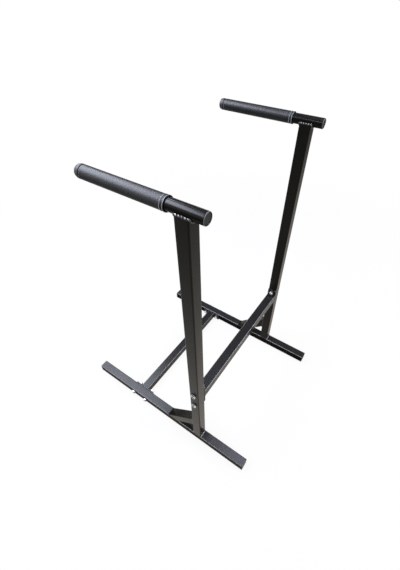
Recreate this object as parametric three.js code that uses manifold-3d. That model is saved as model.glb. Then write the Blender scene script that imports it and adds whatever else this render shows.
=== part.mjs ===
import * as THREE from 'three';
import { mergeVertices } from 'three/addons/utils/BufferGeometryUtils.js';
import Module from 'manifold-3d';

// A free-standing dip station: two welded side frames with handles, tied by two bolted crossbars.
// Lengths are in millimetres. +Z is up, +X is to the right, +Y is the way the handles point.
// The origin is on the floor, under the middle of the stand.

// Overall layout
const overallWidth = 690; // over the outer faces of the two side frames
const footLength = 870; // over the end plugs
const uprightSetback = 238; // front end of the foot to the middle of the upright
const handleHeight = 1200; // floor to the axis of the handle
const frontCrossbarHeight = 383; // floor to the middle of the front crossbar
const rearCrossbarReach = 355; // middle of the upright to the middle of the rear crossbar
const braceReach = 147; // back of the upright to the upper edge of the brace, along the foot
const braceRise = 147; // top of the foot to the upper edge of the brace, up the upright

// Square tube, the stock of every straight member
const squareSide = 40;
const squareWall = 2;
const squareCornerRadius = 4;

// Handle tube, lying in the coped top of the upright
const handleDiameter = 32;
const handleWall = 2;
const handleFrontReach = 52; // middle of the upright to the front end of the tube
const handleBackReach = 322; // middle of the upright to the back end of the tube
const copeEarDrop = 4; // how far the upright's side walls stop below the handle's axis

// Weld bead round the cope
const beadRadius = 3;
const beadOffset = 1.8; // middle of the bead to the handle's skin
const beadStandOff = 0.8; // middle of the bead to the upright's front and back faces
const beadInset = 1.5; // middle of the bead to the upright's side faces
const beadEarLift = 1; // middle of the bead above the tops of the ears
const beadRippleHeight = 0.5;
const beadRippleCount = 24;

// Rubber grip
const gripStart = 47; // middle of the upright to the front end of the grip
const gripWall = 1.9;
const gripFlangeHeight = 1;
const gripFlangeWidth = 5;
const gripRingHeight = 0.7;
const gripRingWidth = 4;
const gripRingPitch = 11; // front end of the flange to the front end of the ring behind it
const gripChamfer = 0.8;

// Domed cap behind the grip
const capRimWidth = 4;
const capRimHeight = 0.4;
const capRimRound = 1;
const capDomeHeight = 4.5;

// Round plug in the front end of the handle tube
const roundPlugHead = 3;
const roundPlugRound = 1.2;
const roundPlugRimWidth = 2.2;
const roundPlugDish = 0.6;

// Insert of the round plugs and caps
const roundInsertLength = 18;
const roundInsertWall = 2;

// Square plug in each end of a foot
const squarePlugHead = 3;
const squarePlugRound = 1.2;
const squarePlugInsertLength = 18;
const squarePlugInsertWall = 2;
const squarePlugFinHeight = 1;
const squarePlugFinWidth = 1.6;
const squarePlugFinPitch = 6;
const squarePlugFins = 2;

// Crossbar end plates
const plateLength = 108;
const plateWidth = 40;
const plateThickness = 5;
const plateCornerRadius = 4;

// Bolts, washers and lock nuts
const boltSpacing = 76;
const boltDiameter = 10;
const boltLength = 60; // under the head
const boltTipChamfer = 1;
const headAcrossFlats = 17;
const headHeight = 6.4;
const hexChamfer = 1;
const nutHexHeight = 7;
const nutCollarHeight = 3;
const nutCollarWall = 2.4;
const nutCollarRound = 1;
const washerDiameter = 22;
const washerThickness = 2;
const boltHoleClearance = 1; // on the diameter, in tubes, plates and washers

// Clearances shared by every joint
const seatGap = 0.3; // between a turned or cut piece and its seat
const weldGap = 0.3; // root gap of the mitred brace
const cutOverrun = 5; // how far a cutter runs past what it cuts

// Facets
const roundFacets = 32;
const boltFacets = 12;
const washerFacets = 12;
const hexSides = 6;
const plugFacets = 20;
const cornerFacets = 3;
const insertCornerFacets = 1;
const beadFacets = 6;
const roundingFacets = 2;
const bevelFacets = 1;
const domeFacets = 3;

// Sizes that follow from the ones above
const squareHalf = squareSide / 2;
const sideFrameX = overallWidth / 2 - squareHalf;
const uprightY = uprightSetback - footLength / 2;
const footTop = squareSide;
const handleRadius = handleDiameter / 2;
const handleBore = handleRadius - handleWall;
const copeRadius = handleRadius + seatGap;
const gripBore = handleRadius + seatGap;
const gripRadius = gripBore + gripWall;
const crossbarLength = overallWidth - 2 * squareSide - 2 * plateThickness;
const clampThickness = squareSide + plateThickness;
const boltRadius = boltDiameter / 2;
const boltHoleRadius = (boltDiameter + boltHoleClearance) / 2;

const blackSteel = { color: 0x1d1f20, roughness: 0.38, metalness: 0.35 };
const weldSteel = { color: 0x26292b, roughness: 0.3, metalness: 0.5 };
const greyRubber = { color: 0x3b3d42, roughness: 0.62, metalness: 0 };
const blackPlastic = { color: 0x2a2b2c, roughness: 0.5, metalness: 0 };
const zincSteel = { color: 0xc9ccce, roughness: 0.28, metalness: 0.9 };

const wasm = await Module();
wasm.setup();

// Turns a closed three.js geometry into a solid that can be cut and joined.
function toSolid(geometry) {
  const bare = geometry.clone();
  bare.deleteAttribute('normal');
  bare.deleteAttribute('uv');
  const merged = mergeVertices(bare);
  return new wasm.Manifold(new wasm.Mesh({
    numProp: 3,
    vertProperties: new Float32Array(merged.attributes.position.array),
    triVerts: new Uint32Array(merged.index.array),
  }));
}

// Turns a solid back into a three.js geometry.
function toGeometry(solid) {
  const { vertProperties, triVerts } = solid.getMesh();
  const geometry = new THREE.BufferGeometry();
  geometry.setAttribute('position', new THREE.BufferAttribute(vertProperties, 3));
  geometry.setIndex(new THREE.BufferAttribute(triVerts, 1));
  geometry.computeVertexNormals();
  return geometry;
}

// The largest of the bodies that a cut leaves, without the crumbs.
function largestBody(solid) {
  return solid.decompose().sort((a, b) => b.volume() - a.volume())[0];
}

function makeMesh(name, geometry, finish) {
  const mesh = new THREE.Mesh(geometry, new THREE.MeshStandardMaterial(finish));
  mesh.name = name;
  return mesh;
}

// A rectangle with round corners, centred on the origin.
function roundedRectangle(width, height, radius) {
  const x = width / 2;
  const y = height / 2;
  const shape = new THREE.Shape();
  shape.moveTo(radius - x, -y);
  shape.lineTo(x - radius, -y);
  shape.absarc(x - radius, radius - y, radius, -Math.PI / 2, 0, false);
  shape.lineTo(x, y - radius);
  shape.absarc(x - radius, y - radius, radius, 0, Math.PI / 2, false);
  shape.lineTo(radius - x, y);
  shape.absarc(radius - x, y - radius, radius, Math.PI / 2, Math.PI, false);
  shape.lineTo(-x, radius - y);
  shape.absarc(radius - x, radius - y, radius, Math.PI, 1.5 * Math.PI, false);
  return shape;
}

function extrude(shape, depth, curveSegments = cornerFacets) {
  return new THREE.ExtrudeGeometry(shape, { depth, bevelEnabled: false, curveSegments });
}

// A length of the square tube, standing on the origin.
function squareTube(length) {
  const bore = squareSide - 2 * squareWall;
  const section = roundedRectangle(squareSide, squareSide, squareCornerRadius);
  section.holes.push(roundedRectangle(bore, bore, squareCornerRadius - squareWall));
  return extrude(section, length);
}

// A block between two corners, used to trim a piece.
function block(low, high) {
  const size = high.clone().sub(low);
  const middle = high.clone().add(low).multiplyScalar(0.5);
  return toSolid(new THREE.BoxGeometry(size.x, size.y, size.z).translate(middle.x, middle.y, middle.z));
}

// A bolt hole's cutter along X, through a piece that reaches as far as halfDepth on both sides.
function boltHoleCutter(halfDepth, y, z) {
  const length = 2 * (halfDepth + cutOverrun);
  const cutter = new THREE.CylinderGeometry(boltHoleRadius, boltHoleRadius, length, boltFacets);
  return toSolid(cutter.rotateZ(Math.PI / 2).translate(0, y, z));
}

// Points of a quarter of an ellipse about (x, y). The first lies at the angle from, in quarter turns.
function quarterArc(x, y, radiusX, radiusY, from, steps) {
  return Array.from({ length: steps + 1 }, (_, i) => {
    const angle = ((from + i / steps) * Math.PI) / 2;
    return new THREE.Vector2(x + radiusX * Math.cos(angle), y + radiusY * Math.sin(angle));
  });
}

// A quarter of a circle about (x, y), for a rounded edge.
function rounding(x, y, radius, from) {
  return quarterArc(x, y, radius, radius, from, roundingFacets);
}

function revolve(points, facets = roundFacets) {
  return new THREE.LatheGeometry(points, facets);
}

// A plain ring along +Y, from 0 to length.
function ring(bore, radius, length, facets = roundFacets) {
  return revolve([
    new THREE.Vector2(bore, 0),
    new THREE.Vector2(radius, 0),
    new THREE.Vector2(radius, length),
    new THREE.Vector2(bore, length),
    new THREE.Vector2(bore, 0),
  ], facets);
}

// The foot lies along Y, drilled across for the rear crossbar's two bolts.
function footTubeGeometry() {
  const tube = squareTube(footLength - 2 * squarePlugHead);
  tube.rotateX(-Math.PI / 2);
  tube.translate(0, squarePlugHead - uprightSetback, squareHalf);
  let solid = toSolid(tube);
  for (const end of [-1, 1]) {
    const y = rearCrossbarReach + (end * boltSpacing) / 2;
    solid = solid.subtract(boltHoleCutter(squareHalf, y, squareHalf));
  }
  return toGeometry(solid);
}

// The upright stands on the foot. Its top is coped to the handle tube, and its side walls run on as
// ears beside the tube.
function uprightGeometry() {
  const height = handleHeight - copeEarDrop - footTop;
  let solid = toSolid(squareTube(height).translate(0, 0, footTop));
  const cutterLength = squareSide + 2 * cutOverrun;
  const cope = new THREE.CylinderGeometry(copeRadius, copeRadius, cutterLength, roundFacets);
  solid = solid.subtract(toSolid(cope.translate(0, 0, handleHeight)));
  for (const end of [-1, 1]) {
    const z = frontCrossbarHeight + (end * boltSpacing) / 2;
    solid = solid.subtract(boltHoleCutter(squareHalf, 0, z));
  }
  return toGeometry(solid);
}

// The brace runs from the foot's top up to the upright's back, mitred at both ends.
function braceGeometry() {
  const slope = Math.atan2(braceRise, braceReach);
  const length = Math.hypot(braceReach, braceRise);
  const tube = squareTube(length).translate(0, -squareHalf, 0);
  tube.rotateX(Math.PI / 2 - slope);
  tube.translate(0, squareHalf + braceReach, footTop);
  const low = new THREE.Vector3(-squareSide, squareHalf + weldGap, footTop + weldGap);
  const high = new THREE.Vector3(squareSide, squareSide + braceReach, squareSide + footTop + braceRise);
  return toGeometry(toSolid(tube).intersect(block(low, high)));
}

// The closed line of the weld bead. Seen from above it goes round the upright. Seen from the front it
// follows the handle's underside, and runs level along the top of each ear.
class BeadLine extends THREE.Curve {
  constructor() {
    super();
    this.reach = handleRadius + beadOffset;
    const width = squareSide - 2 * beadInset;
    const depth = squareSide + 2 * beadStandOff;
    this.plan = roundedRectangle(width, depth, squareCornerRadius);
  }

  getPoint(t, target = new THREE.Vector3()) {
    const point = this.plan.getPointAt(t % 1);
    const underside = Math.sqrt(Math.max(this.reach ** 2 - point.x ** 2, 0));
    return target.set(point.x, point.y, -Math.max(underside, copeEarDrop - beadEarLift));
  }
}

// The bead fills the corner between the handle's skin and the coped upright, all the way round.
function saddleWeldGeometry() {
  const rings = 2 * beadRippleCount;
  const bead = new THREE.TubeGeometry(new BeadLine(), rings, beadRadius, beadFacets, true);
  const { position, normal } = bead.attributes;
  for (let i = 0; i < position.count; i += 1) {
    const crest = Math.floor(i / (beadFacets + 1)) % 2;
    const point = new THREE.Vector3().fromBufferAttribute(position, i);
    const outward = new THREE.Vector3().fromBufferAttribute(normal, i);
    point.addScaledVector(outward, crest * beadRippleHeight);
    position.setXYZ(i, point.x, point.y, point.z);
  }
  bead.translate(0, 0, handleHeight);
  const cutterLength = squareSide + 4 * beadRadius;
  const handle = new THREE.CylinderGeometry(copeRadius, copeRadius, cutterLength, roundFacets);
  const side = squareSide + 2 * seatGap;
  const height = handleRadius + 2 * beadRadius;
  const upright = extrude(roundedRectangle(side, side, squareCornerRadius + seatGap), height);
  upright.translate(0, 0, handleHeight - copeEarDrop + seatGap - height);
  const solid = toSolid(bead)
    .subtract(toSolid(handle.translate(0, 0, handleHeight)))
    .subtract(toSolid(upright));
  return toGeometry(largestBody(solid));
}

function handleTubeGeometry() {
  const tube = ring(handleBore, handleRadius, handleFrontReach + handleBackReach);
  return tube.translate(0, -handleFrontReach, handleHeight);
}

// A raised ring of the grip's outline, with chamfered edges.
function raisedRing(start, width, height) {
  return [
    new THREE.Vector2(gripRadius, start),
    new THREE.Vector2(gripRadius + height, start + gripChamfer),
    new THREE.Vector2(gripRadius + height, start + width - gripChamfer),
    new THREE.Vector2(gripRadius, start + width),
  ];
}

// The grip is a sleeve with a flange and a raised ring at its front end.
function gripGeometry() {
  const length = handleBackReach - gripStart;
  const profile = [
    new THREE.Vector2(gripBore, 0),
    ...raisedRing(0, gripFlangeWidth, gripFlangeHeight),
    ...raisedRing(gripRingPitch, gripRingWidth, gripRingHeight),
    new THREE.Vector2(gripRadius, length - gripChamfer),
    new THREE.Vector2(gripRadius - gripChamfer, length),
    new THREE.Vector2(gripBore, length),
    new THREE.Vector2(gripBore, 0),
  ];
  return revolve(profile).translate(0, gripStart, handleHeight);
}

// The hollow insert of a round plug, from the axis out to its seat on the tube's end, at y = 0.
function roundInsertProfile() {
  const outer = handleBore - seatGap;
  const inner = outer - roundInsertWall;
  return [
    new THREE.Vector2(0, 0),
    new THREE.Vector2(inner, 0),
    new THREE.Vector2(inner, -roundInsertLength),
    new THREE.Vector2(outer, -roundInsertLength),
    new THREE.Vector2(outer, 0),
  ];
}

// The cap seats on the ends of the tube and the grip, with a round rim and a low dome.
function endCapGeometry() {
  const rim = gripRadius + capRimHeight;
  const dome = rim - 2 * capRimRound;
  const profile = [
    ...roundInsertProfile(),
    ...rounding(rim - capRimRound, capRimRound, capRimRound, -1),
    ...rounding(rim - capRimRound, capRimWidth - capRimRound, capRimRound, 0),
    ...quarterArc(0, capRimWidth, dome, capDomeHeight, 0, domeFacets),
  ];
  profile[profile.length - 1].x = 0;
  return revolve(profile, plugFacets);
}

// The front plug has a flat head as wide as the tube, with a rounded edge and a slightly sunk face.
function frontPlugGeometry() {
  const edge = handleRadius - roundPlugRound;
  const dish = edge - roundPlugRimWidth;
  const profile = [
    ...roundInsertProfile(),
    new THREE.Vector2(handleRadius, 0),
    ...rounding(edge, roundPlugHead - roundPlugRound, roundPlugRound, 0),
    new THREE.Vector2(dish, roundPlugHead),
    new THREE.Vector2(dish - roundPlugDish, roundPlugHead - roundPlugDish),
    new THREE.Vector2(0, roundPlugHead - roundPlugDish),
  ];
  return revolve(profile, plugFacets);
}

// The foot plug stands on the origin: its head above, its finned, hollow insert below.
function squarePlugGeometry() {
  const head = new THREE.ExtrudeGeometry(roundedRectangle(squareSide, squareSide, squareCornerRadius), {
    depth: squarePlugHead - squarePlugRound,
    bevelThickness: squarePlugRound,
    bevelSize: squarePlugRound,
    bevelOffset: -squarePlugRound,
    bevelSegments: bevelFacets,
    curveSegments: cornerFacets,
  });
  const low = new THREE.Vector3(-squareSide, -squareSide, 0);
  const high = new THREE.Vector3(squareSide, squareSide, squareSide);
  let solid = toSolid(head).intersect(block(low, high));
  const finSide = squareSide - 2 * squareWall - 2 * seatGap;
  const insertSide = finSide - 2 * squarePlugFinHeight;
  const hollowSide = insertSide - 2 * squarePlugInsertWall;
  const depth = squarePlugInsertLength + squarePlugHead / 2;
  const insert = roundedRectangle(insertSide, insertSide, squarePlugInsertWall);
  insert.holes.push(roundedRectangle(hollowSide, hollowSide, squarePlugInsertWall / 2));
  const post = extrude(insert, depth, insertCornerFacets).translate(0, 0, -squarePlugInsertLength);
  solid = solid.add(toSolid(post));
  for (let fin = 1; fin <= squarePlugFins; fin += 1) {
    const section = roundedRectangle(finSide, finSide, squareCornerRadius - squareWall);
    section.holes.push(roundedRectangle(hollowSide, hollowSide, squarePlugInsertWall / 2));
    const plate = extrude(section, squarePlugFinWidth, insertCornerFacets);
    solid = solid.add(toSolid(plate.translate(0, 0, -fin * squarePlugFinPitch)));
  }
  return toGeometry(solid);
}

// A crossbar lies along X, between its two end plates.
function crossbarGeometry() {
  return squareTube(crossbarLength).rotateY(Math.PI / 2).translate(-crossbarLength / 2, 0, 0);
}

// An end plate lies across X with its length along Z, from 0 to its thickness, with two bolt holes.
function endPlateGeometry() {
  const outline = roundedRectangle(plateLength, plateWidth, plateCornerRadius);
  const plate = extrude(outline, plateThickness).rotateY(Math.PI / 2);
  let solid = toSolid(plate);
  for (const end of [-1, 1]) {
    solid = solid.subtract(boltHoleCutter(plateThickness, 0, (end * boltSpacing) / 2));
  }
  return toGeometry(solid);
}

// A hexagon along +Y, bevelled at its outer end.
function chamferedHex(height) {
  const corner = headAcrossFlats / 2 / Math.cos(Math.PI / hexSides);
  return toSolid(revolve([
    new THREE.Vector2(0, 0),
    new THREE.Vector2(corner, 0),
    new THREE.Vector2(corner, height - hexChamfer),
    new THREE.Vector2(corner - hexChamfer, height),
    new THREE.Vector2(0, height),
  ], hexSides));
}

// The bolt points along Y: its head above y = 0, its shank below.
function boltGeometry() {
  const shank = revolve([
    new THREE.Vector2(0, -boltLength),
    new THREE.Vector2(boltRadius - boltTipChamfer, -boltLength),
    new THREE.Vector2(boltRadius, boltTipChamfer - boltLength),
    new THREE.Vector2(boltRadius, headHeight / 2),
    new THREE.Vector2(0, headHeight / 2),
  ], boltFacets);
  return toGeometry(chamferedHex(headHeight).add(toSolid(shank)));
}

// The lock nut is a hexagon with a round collar on its outer end, bored for the bolt.
function nutGeometry() {
  const bore = boltRadius + seatGap;
  const height = nutHexHeight + nutCollarHeight;
  const collar = boltRadius + nutCollarWall;
  const body = revolve([
    new THREE.Vector2(0, nutHexHeight / 2),
    new THREE.Vector2(collar, nutHexHeight / 2),
    new THREE.Vector2(collar, height - nutCollarRound),
    new THREE.Vector2(collar - nutCollarRound, height),
    new THREE.Vector2(0, height),
  ], boltFacets);
  const cutterLength = height + 2 * cutOverrun;
  const hole = new THREE.CylinderGeometry(bore, bore, cutterLength, boltFacets).translate(0, height / 2, 0);
  return toGeometry(chamferedHex(nutHexHeight).add(toSolid(body)).subtract(toSolid(hole)));
}

function washerGeometry() {
  return ring(boltHoleRadius, washerDiameter / 2, washerThickness, washerFacets);
}

// Each geometry is made once and shared by all copies of its piece.
const shapes = {
  footTube: footTubeGeometry(),
  upright: uprightGeometry(),
  brace: braceGeometry(),
  saddleWeld: saddleWeldGeometry(),
  handleTube: handleTubeGeometry(),
  grip: gripGeometry(),
  endCap: endCapGeometry(),
  frontPlug: frontPlugGeometry(),
  squarePlug: squarePlugGeometry(),
  crossbar: crossbarGeometry(),
  endPlate: endPlateGeometry(),
  bolt: boltGeometry(),
  nut: nutGeometry(),
  washer: washerGeometry(),
};

// A plug in one end of a foot. Its head faces along Y, by the sign of facing.
function footPlug(name, facing) {
  const plug = makeMesh(name, shapes.squarePlug, blackPlastic);
  const reach = facing > 0 ? footLength - uprightSetback : uprightSetback;
  plug.position.set(0, facing * (reach - squarePlugHead), squareHalf);
  plug.rotation.x = (-facing * Math.PI) / 2;
  return plug;
}

// A side frame, about the floor under the middle of its upright.
function sideFrame(side) {
  const frame = new THREE.Group();
  const cap = makeMesh(`${side}_handle_end_cap`, shapes.endCap, blackPlastic);
  cap.position.set(0, handleBackReach, handleHeight);
  const plug = makeMesh(`${side}_handle_front_plug`, shapes.frontPlug, blackPlastic);
  plug.position.set(0, -handleFrontReach, handleHeight);
  plug.rotation.x = Math.PI;
  frame.add(
    makeMesh(`${side}_foot_tube`, shapes.footTube, blackSteel),
    footPlug(`${side}_foot_front_plug`, -1),
    footPlug(`${side}_foot_rear_plug`, 1),
    makeMesh(`${side}_upright`, shapes.upright, blackSteel),
    makeMesh(`${side}_brace`, shapes.brace, blackSteel),
    makeMesh(`${side}_handle_tube`, shapes.handleTube, blackSteel),
    makeMesh(`${side}_saddle_weld`, shapes.saddleWeld, weldSteel),
    makeMesh(`${side}_grip`, shapes.grip, greyRubber),
    cap,
    plug,
  );
  return frame;
}

// A crossbar with its two end plates, about its own middle. turn lays the plates' length along Y.
function crossbarSet(end, turn) {
  const set = new THREE.Group();
  set.add(makeMesh(`${end}_crossbar`, shapes.crossbar, blackSteel));
  for (const [side, sign] of [['left', -1], ['right', 1]]) {
    const plate = makeMesh(`${end}_crossbar_${side}_plate`, shapes.endPlate, blackSteel);
    plate.position.x = sign > 0 ? crossbarLength / 2 : -crossbarLength / 2 - plateThickness;
    plate.rotation.x = turn;
    set.add(plate);
  }
  return set;
}

// A bolt with its washers and nut, pointing out along +X from the outer face of a side frame.
function boltStack(name) {
  const stack = new THREE.Group();
  const along = (mesh, x, turn) => {
    mesh.position.x = x;
    mesh.rotation.z = turn;
    return mesh;
  };
  const outward = -Math.PI / 2;
  const inward = Math.PI / 2;
  stack.add(
    along(makeMesh(`${name}_head_washer`, shapes.washer, zincSteel), 0, outward),
    along(makeMesh(`${name}_bolt`, shapes.bolt, zincSteel), washerThickness, outward),
    along(makeMesh(`${name}_nut_washer`, shapes.washer, zincSteel), -clampThickness, inward),
    along(makeMesh(`${name}_nut`, shapes.nut, zincSteel), -clampThickness - washerThickness, inward),
  );
  return stack;
}

const station = new THREE.Group();

for (const [side, sign] of [['left', -1], ['right', 1]]) {
  const frame = sideFrame(side);
  frame.position.set(sign * sideFrameX, uprightY, 0);
  station.add(frame);

  const halfSpacing = boltSpacing / 2;
  const rearY = uprightY + rearCrossbarReach;
  const places = [
    [`front_${side}_lower`, uprightY, frontCrossbarHeight - halfSpacing],
    [`front_${side}_upper`, uprightY, frontCrossbarHeight + halfSpacing],
    [`rear_${side}_fore`, rearY - halfSpacing, squareHalf],
    [`rear_${side}_aft`, rearY + halfSpacing, squareHalf],
  ];
  for (const [name, y, z] of places) {
    const stack = boltStack(name);
    stack.position.set((sign * overallWidth) / 2, y, z);
    stack.rotation.z = sign > 0 ? 0 : Math.PI;
    station.add(stack);
  }
}

const frontCrossbar = crossbarSet('front', 0);
frontCrossbar.position.set(0, uprightY, frontCrossbarHeight);
station.add(frontCrossbar);

const rearCrossbar = crossbarSet('rear', Math.PI / 2);
rearCrossbar.position.set(0, uprightY + rearCrossbarReach, squareHalf);
station.add(rearCrossbar);

export default station;
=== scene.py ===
"""Looks of a dip station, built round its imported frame.

Two welded side frames of black square tube carry round handles with rubber grips, and two bolted crossbars
tie them together. Lengths are in metres. +Z is up, +X is to the right and +Y is the way the handles point.
"""

from __future__ import annotations

import logging
import math
from abc import ABC, abstractmethod
from collections.abc import Callable, Iterable, Mapping, Sequence
from dataclasses import dataclass, field
from enum import Enum
from typing import ClassVar

import bmesh
import bpy
from mathutils import Matrix, Vector

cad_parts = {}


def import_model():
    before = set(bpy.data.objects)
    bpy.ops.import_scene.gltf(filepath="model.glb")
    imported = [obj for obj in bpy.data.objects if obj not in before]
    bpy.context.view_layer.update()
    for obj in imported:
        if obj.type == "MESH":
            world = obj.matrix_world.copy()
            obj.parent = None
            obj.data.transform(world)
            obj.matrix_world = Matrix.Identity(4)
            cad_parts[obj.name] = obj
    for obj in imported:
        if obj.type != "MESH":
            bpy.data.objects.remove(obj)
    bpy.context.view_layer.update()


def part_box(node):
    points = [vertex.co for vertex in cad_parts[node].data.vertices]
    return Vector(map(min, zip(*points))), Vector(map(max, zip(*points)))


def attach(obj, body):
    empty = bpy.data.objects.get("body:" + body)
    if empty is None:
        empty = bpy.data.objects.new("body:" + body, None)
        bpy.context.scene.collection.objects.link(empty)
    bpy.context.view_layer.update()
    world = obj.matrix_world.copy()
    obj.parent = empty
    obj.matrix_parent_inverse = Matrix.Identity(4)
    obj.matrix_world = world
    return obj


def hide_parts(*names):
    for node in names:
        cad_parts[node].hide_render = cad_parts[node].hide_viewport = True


LOG = logging.getLogger("dip_station")
BODY = "root"

# The mesh attribute of crest marks: above 0 for painted highlights, below 0 for painted shade.
CREST = "crest"
SMOOTHING = "weighted"
# The angle in degrees past which an edge stays sharp.
CREASE = 32.0
# The width of one band of a wave texture whose scale is 1.
WAVE_BAND = math.pi / 10

Colour = tuple[float, float, float]
Place = tuple[float, float, float]
Point = tuple[float, float]
# The two values between which an effect sets in.
Band = tuple[float, float]

WHITE: Colour = (1.0, 1.0, 1.0)
COOL_WHITE: Colour = (0.82, 0.86, 1.0)


class Side(Enum):
    """The two sides of the stand, by their sign along X."""

    LEFT = -1
    RIGHT = 1

    @property
    def word(self) -> str:
        """The side's name in the names of nodes."""
        return self.name.lower()


class Bar(Enum):
    """The two crossbars, with the words for the two bolts at each of their ends."""

    FRONT = ("front", ("lower", "upper"))
    REAR = ("rear", ("fore", "aft"))

    def __init__(self, word: str, bolt_words: tuple[str, str]) -> None:
        """Names the crossbar and its bolts."""
        self.word = word
        self.bolt_words = bolt_words

    def bolt_stacks(self, side: Side) -> list[str]:
        """Gives the starts of the names of the bolts on one side."""
        return [f"{self.word}_{side.word}_{word}" for word in self.bolt_words]


class Axis(Enum):
    """The row axes, as the turn that lays a form's own +Z along each."""

    X = ("Y", 90.0)
    Y = ("X", -90.0)
    Z = ("Z", 0.0)

    def place(self, origin: Vector, backwards: bool = False) -> Matrix:
        """Gives the place of a form that points along this axis.

        Args:
            origin: Where the form's own origin goes.
            backwards: Whether it points the other way.

        Returns:
            The matrix from the form's own axes to the row's.
        """
        about, degrees = self.value
        turn = Matrix.Rotation(math.radians(degrees), 4, about)
        if backwards:
            turn = turn @ Matrix.Rotation(math.pi, 4, "X")
        return Matrix.Translation(origin) @ turn


def middle_of(node: str) -> Vector:
    """Gives the middle of a node of the frame."""
    low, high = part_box(node)
    return (low + high) / 2


# Meshes


class Form:
    """A mesh under construction, gathered ring by ring."""

    def __init__(self) -> None:
        """Starts an empty form."""
        self.points: list[Vector] = []
        self.faces: list[tuple[int, ...]] = []
        self.crest: list[float] = []

    def ring(self, points: Iterable[Vector]) -> range:
        """Adds a ring of points.

        Args:
            points: The points.

        Returns:
            Their numbers.
        """
        start = len(self.points)
        self.points.extend(points)
        return range(start, len(self.points))

    def bridge(self, first: range, second: range) -> None:
        """Joins two rings with quads, or a ring and a single point with triangles.

        Args:
            first: The numbers of one ring, or of one point.
            second: The numbers of the other.
        """
        count = max(len(first), len(second))
        for i in range(count):
            j = (i + 1) % count
            corners = [first[i % len(first)], first[j % len(first)]]
            corners += [second[j % len(second)], second[i % len(second)]]
            self.faces.append(tuple(dict.fromkeys(corners)))

    def loft(self, rings: Sequence[Sequence[Vector]], closed: bool = False) -> Form:
        """Joins a row of rings.

        Args:
            rings: The rings, of one length each, apart from single points at the ends.
            closed: Whether the last ring is joined to the first.

        Returns:
            The form itself.
        """
        numbers = [self.ring(points) for points in rings]
        for first, second in zip(numbers, numbers[1:]):
            self.bridge(first, second)
        if closed:
            self.bridge(numbers[-1], numbers[0])
        return self

    def build(self, name: str, place: Matrix, crease: float = CREASE) -> bpy.types.Object:
        """Makes the mesh object.

        Args:
            name: The piece's name.
            place: The matrix from the form's own axes to the row's.
            crease: The angle in degrees past which an edge stays sharp.

        Returns:
            The new object, linked to the scene.
        """
        mesh = bpy.data.meshes.new(name)
        mesh.from_pydata([tuple(point) for point in self.points], [], self.faces)
        if self.crest:
            mesh.attributes.new(CREST, "FLOAT", "POINT").data.foreach_set("value", self.crest)
        mesh.transform(place)
        shell = bmesh.new()
        shell.from_mesh(mesh)
        bmesh.ops.recalc_face_normals(shell, faces=shell.faces)
        shell.to_mesh(mesh)
        shell.free()
        piece = bpy.data.objects.new(name, mesh)
        bpy.context.scene.collection.objects.link(piece)
        smooth(piece, crease)
        return piece


def smooth(piece: bpy.types.Object, crease: float) -> None:
    """Shades a piece smooth between its sharp edges.

    Args:
        piece: The piece.
        crease: The angle in degrees past which an edge stays sharp.
    """
    piece.data.shade_smooth()
    piece.data.set_sharp_from_angle(angle=math.radians(crease))
    if SMOOTHING not in piece.modifiers:
        piece.modifiers.new(SMOOTHING, "WEIGHTED_NORMAL").keep_sharp = True


def revolve(profile: Sequence[Point], steps: int, closed: bool = False, marks: Sequence[float] = ()) -> Form:
    """Turns a profile about +Z.

    Args:
        profile: Points of radius and height. An open profile starts and ends on the axis.
        steps: How many steps the turn has.
        closed: Whether the profile closes on itself.
        marks: The crest value of each point: above 0 for painted highlights, below 0 for painted shade.

    Returns:
        The form.
    """
    rings = []
    for radius, height in profile:
        count = steps if radius > 0 else 1
        angles = (math.tau * i / count for i in range(count))
        rings.append([Vector((radius * math.cos(a), radius * math.sin(a), height)) for a in angles])
    form = Form().loft(rings, closed)
    for ring, mark in zip(rings, marks):
        form.crest += [mark] * len(ring)
    return form


def rounding(centre: Point, radius: float, start: float, steps: int = 5) -> list[Point]:
    """Gives the points of a quarter circle, for a rounded edge.

    Args:
        centre: The circle's centre.
        radius: The circle's radius.
        start: The angle of the first point, in quarter turns.
        steps: How many steps the quarter has.

    Returns:
        The points, counter-clockwise.
    """
    angles = [(start + i / steps) * math.pi / 2 for i in range(steps + 1)]
    return [(centre[0] + radius * math.cos(a), centre[1] + radius * math.sin(a)) for a in angles]


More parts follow.
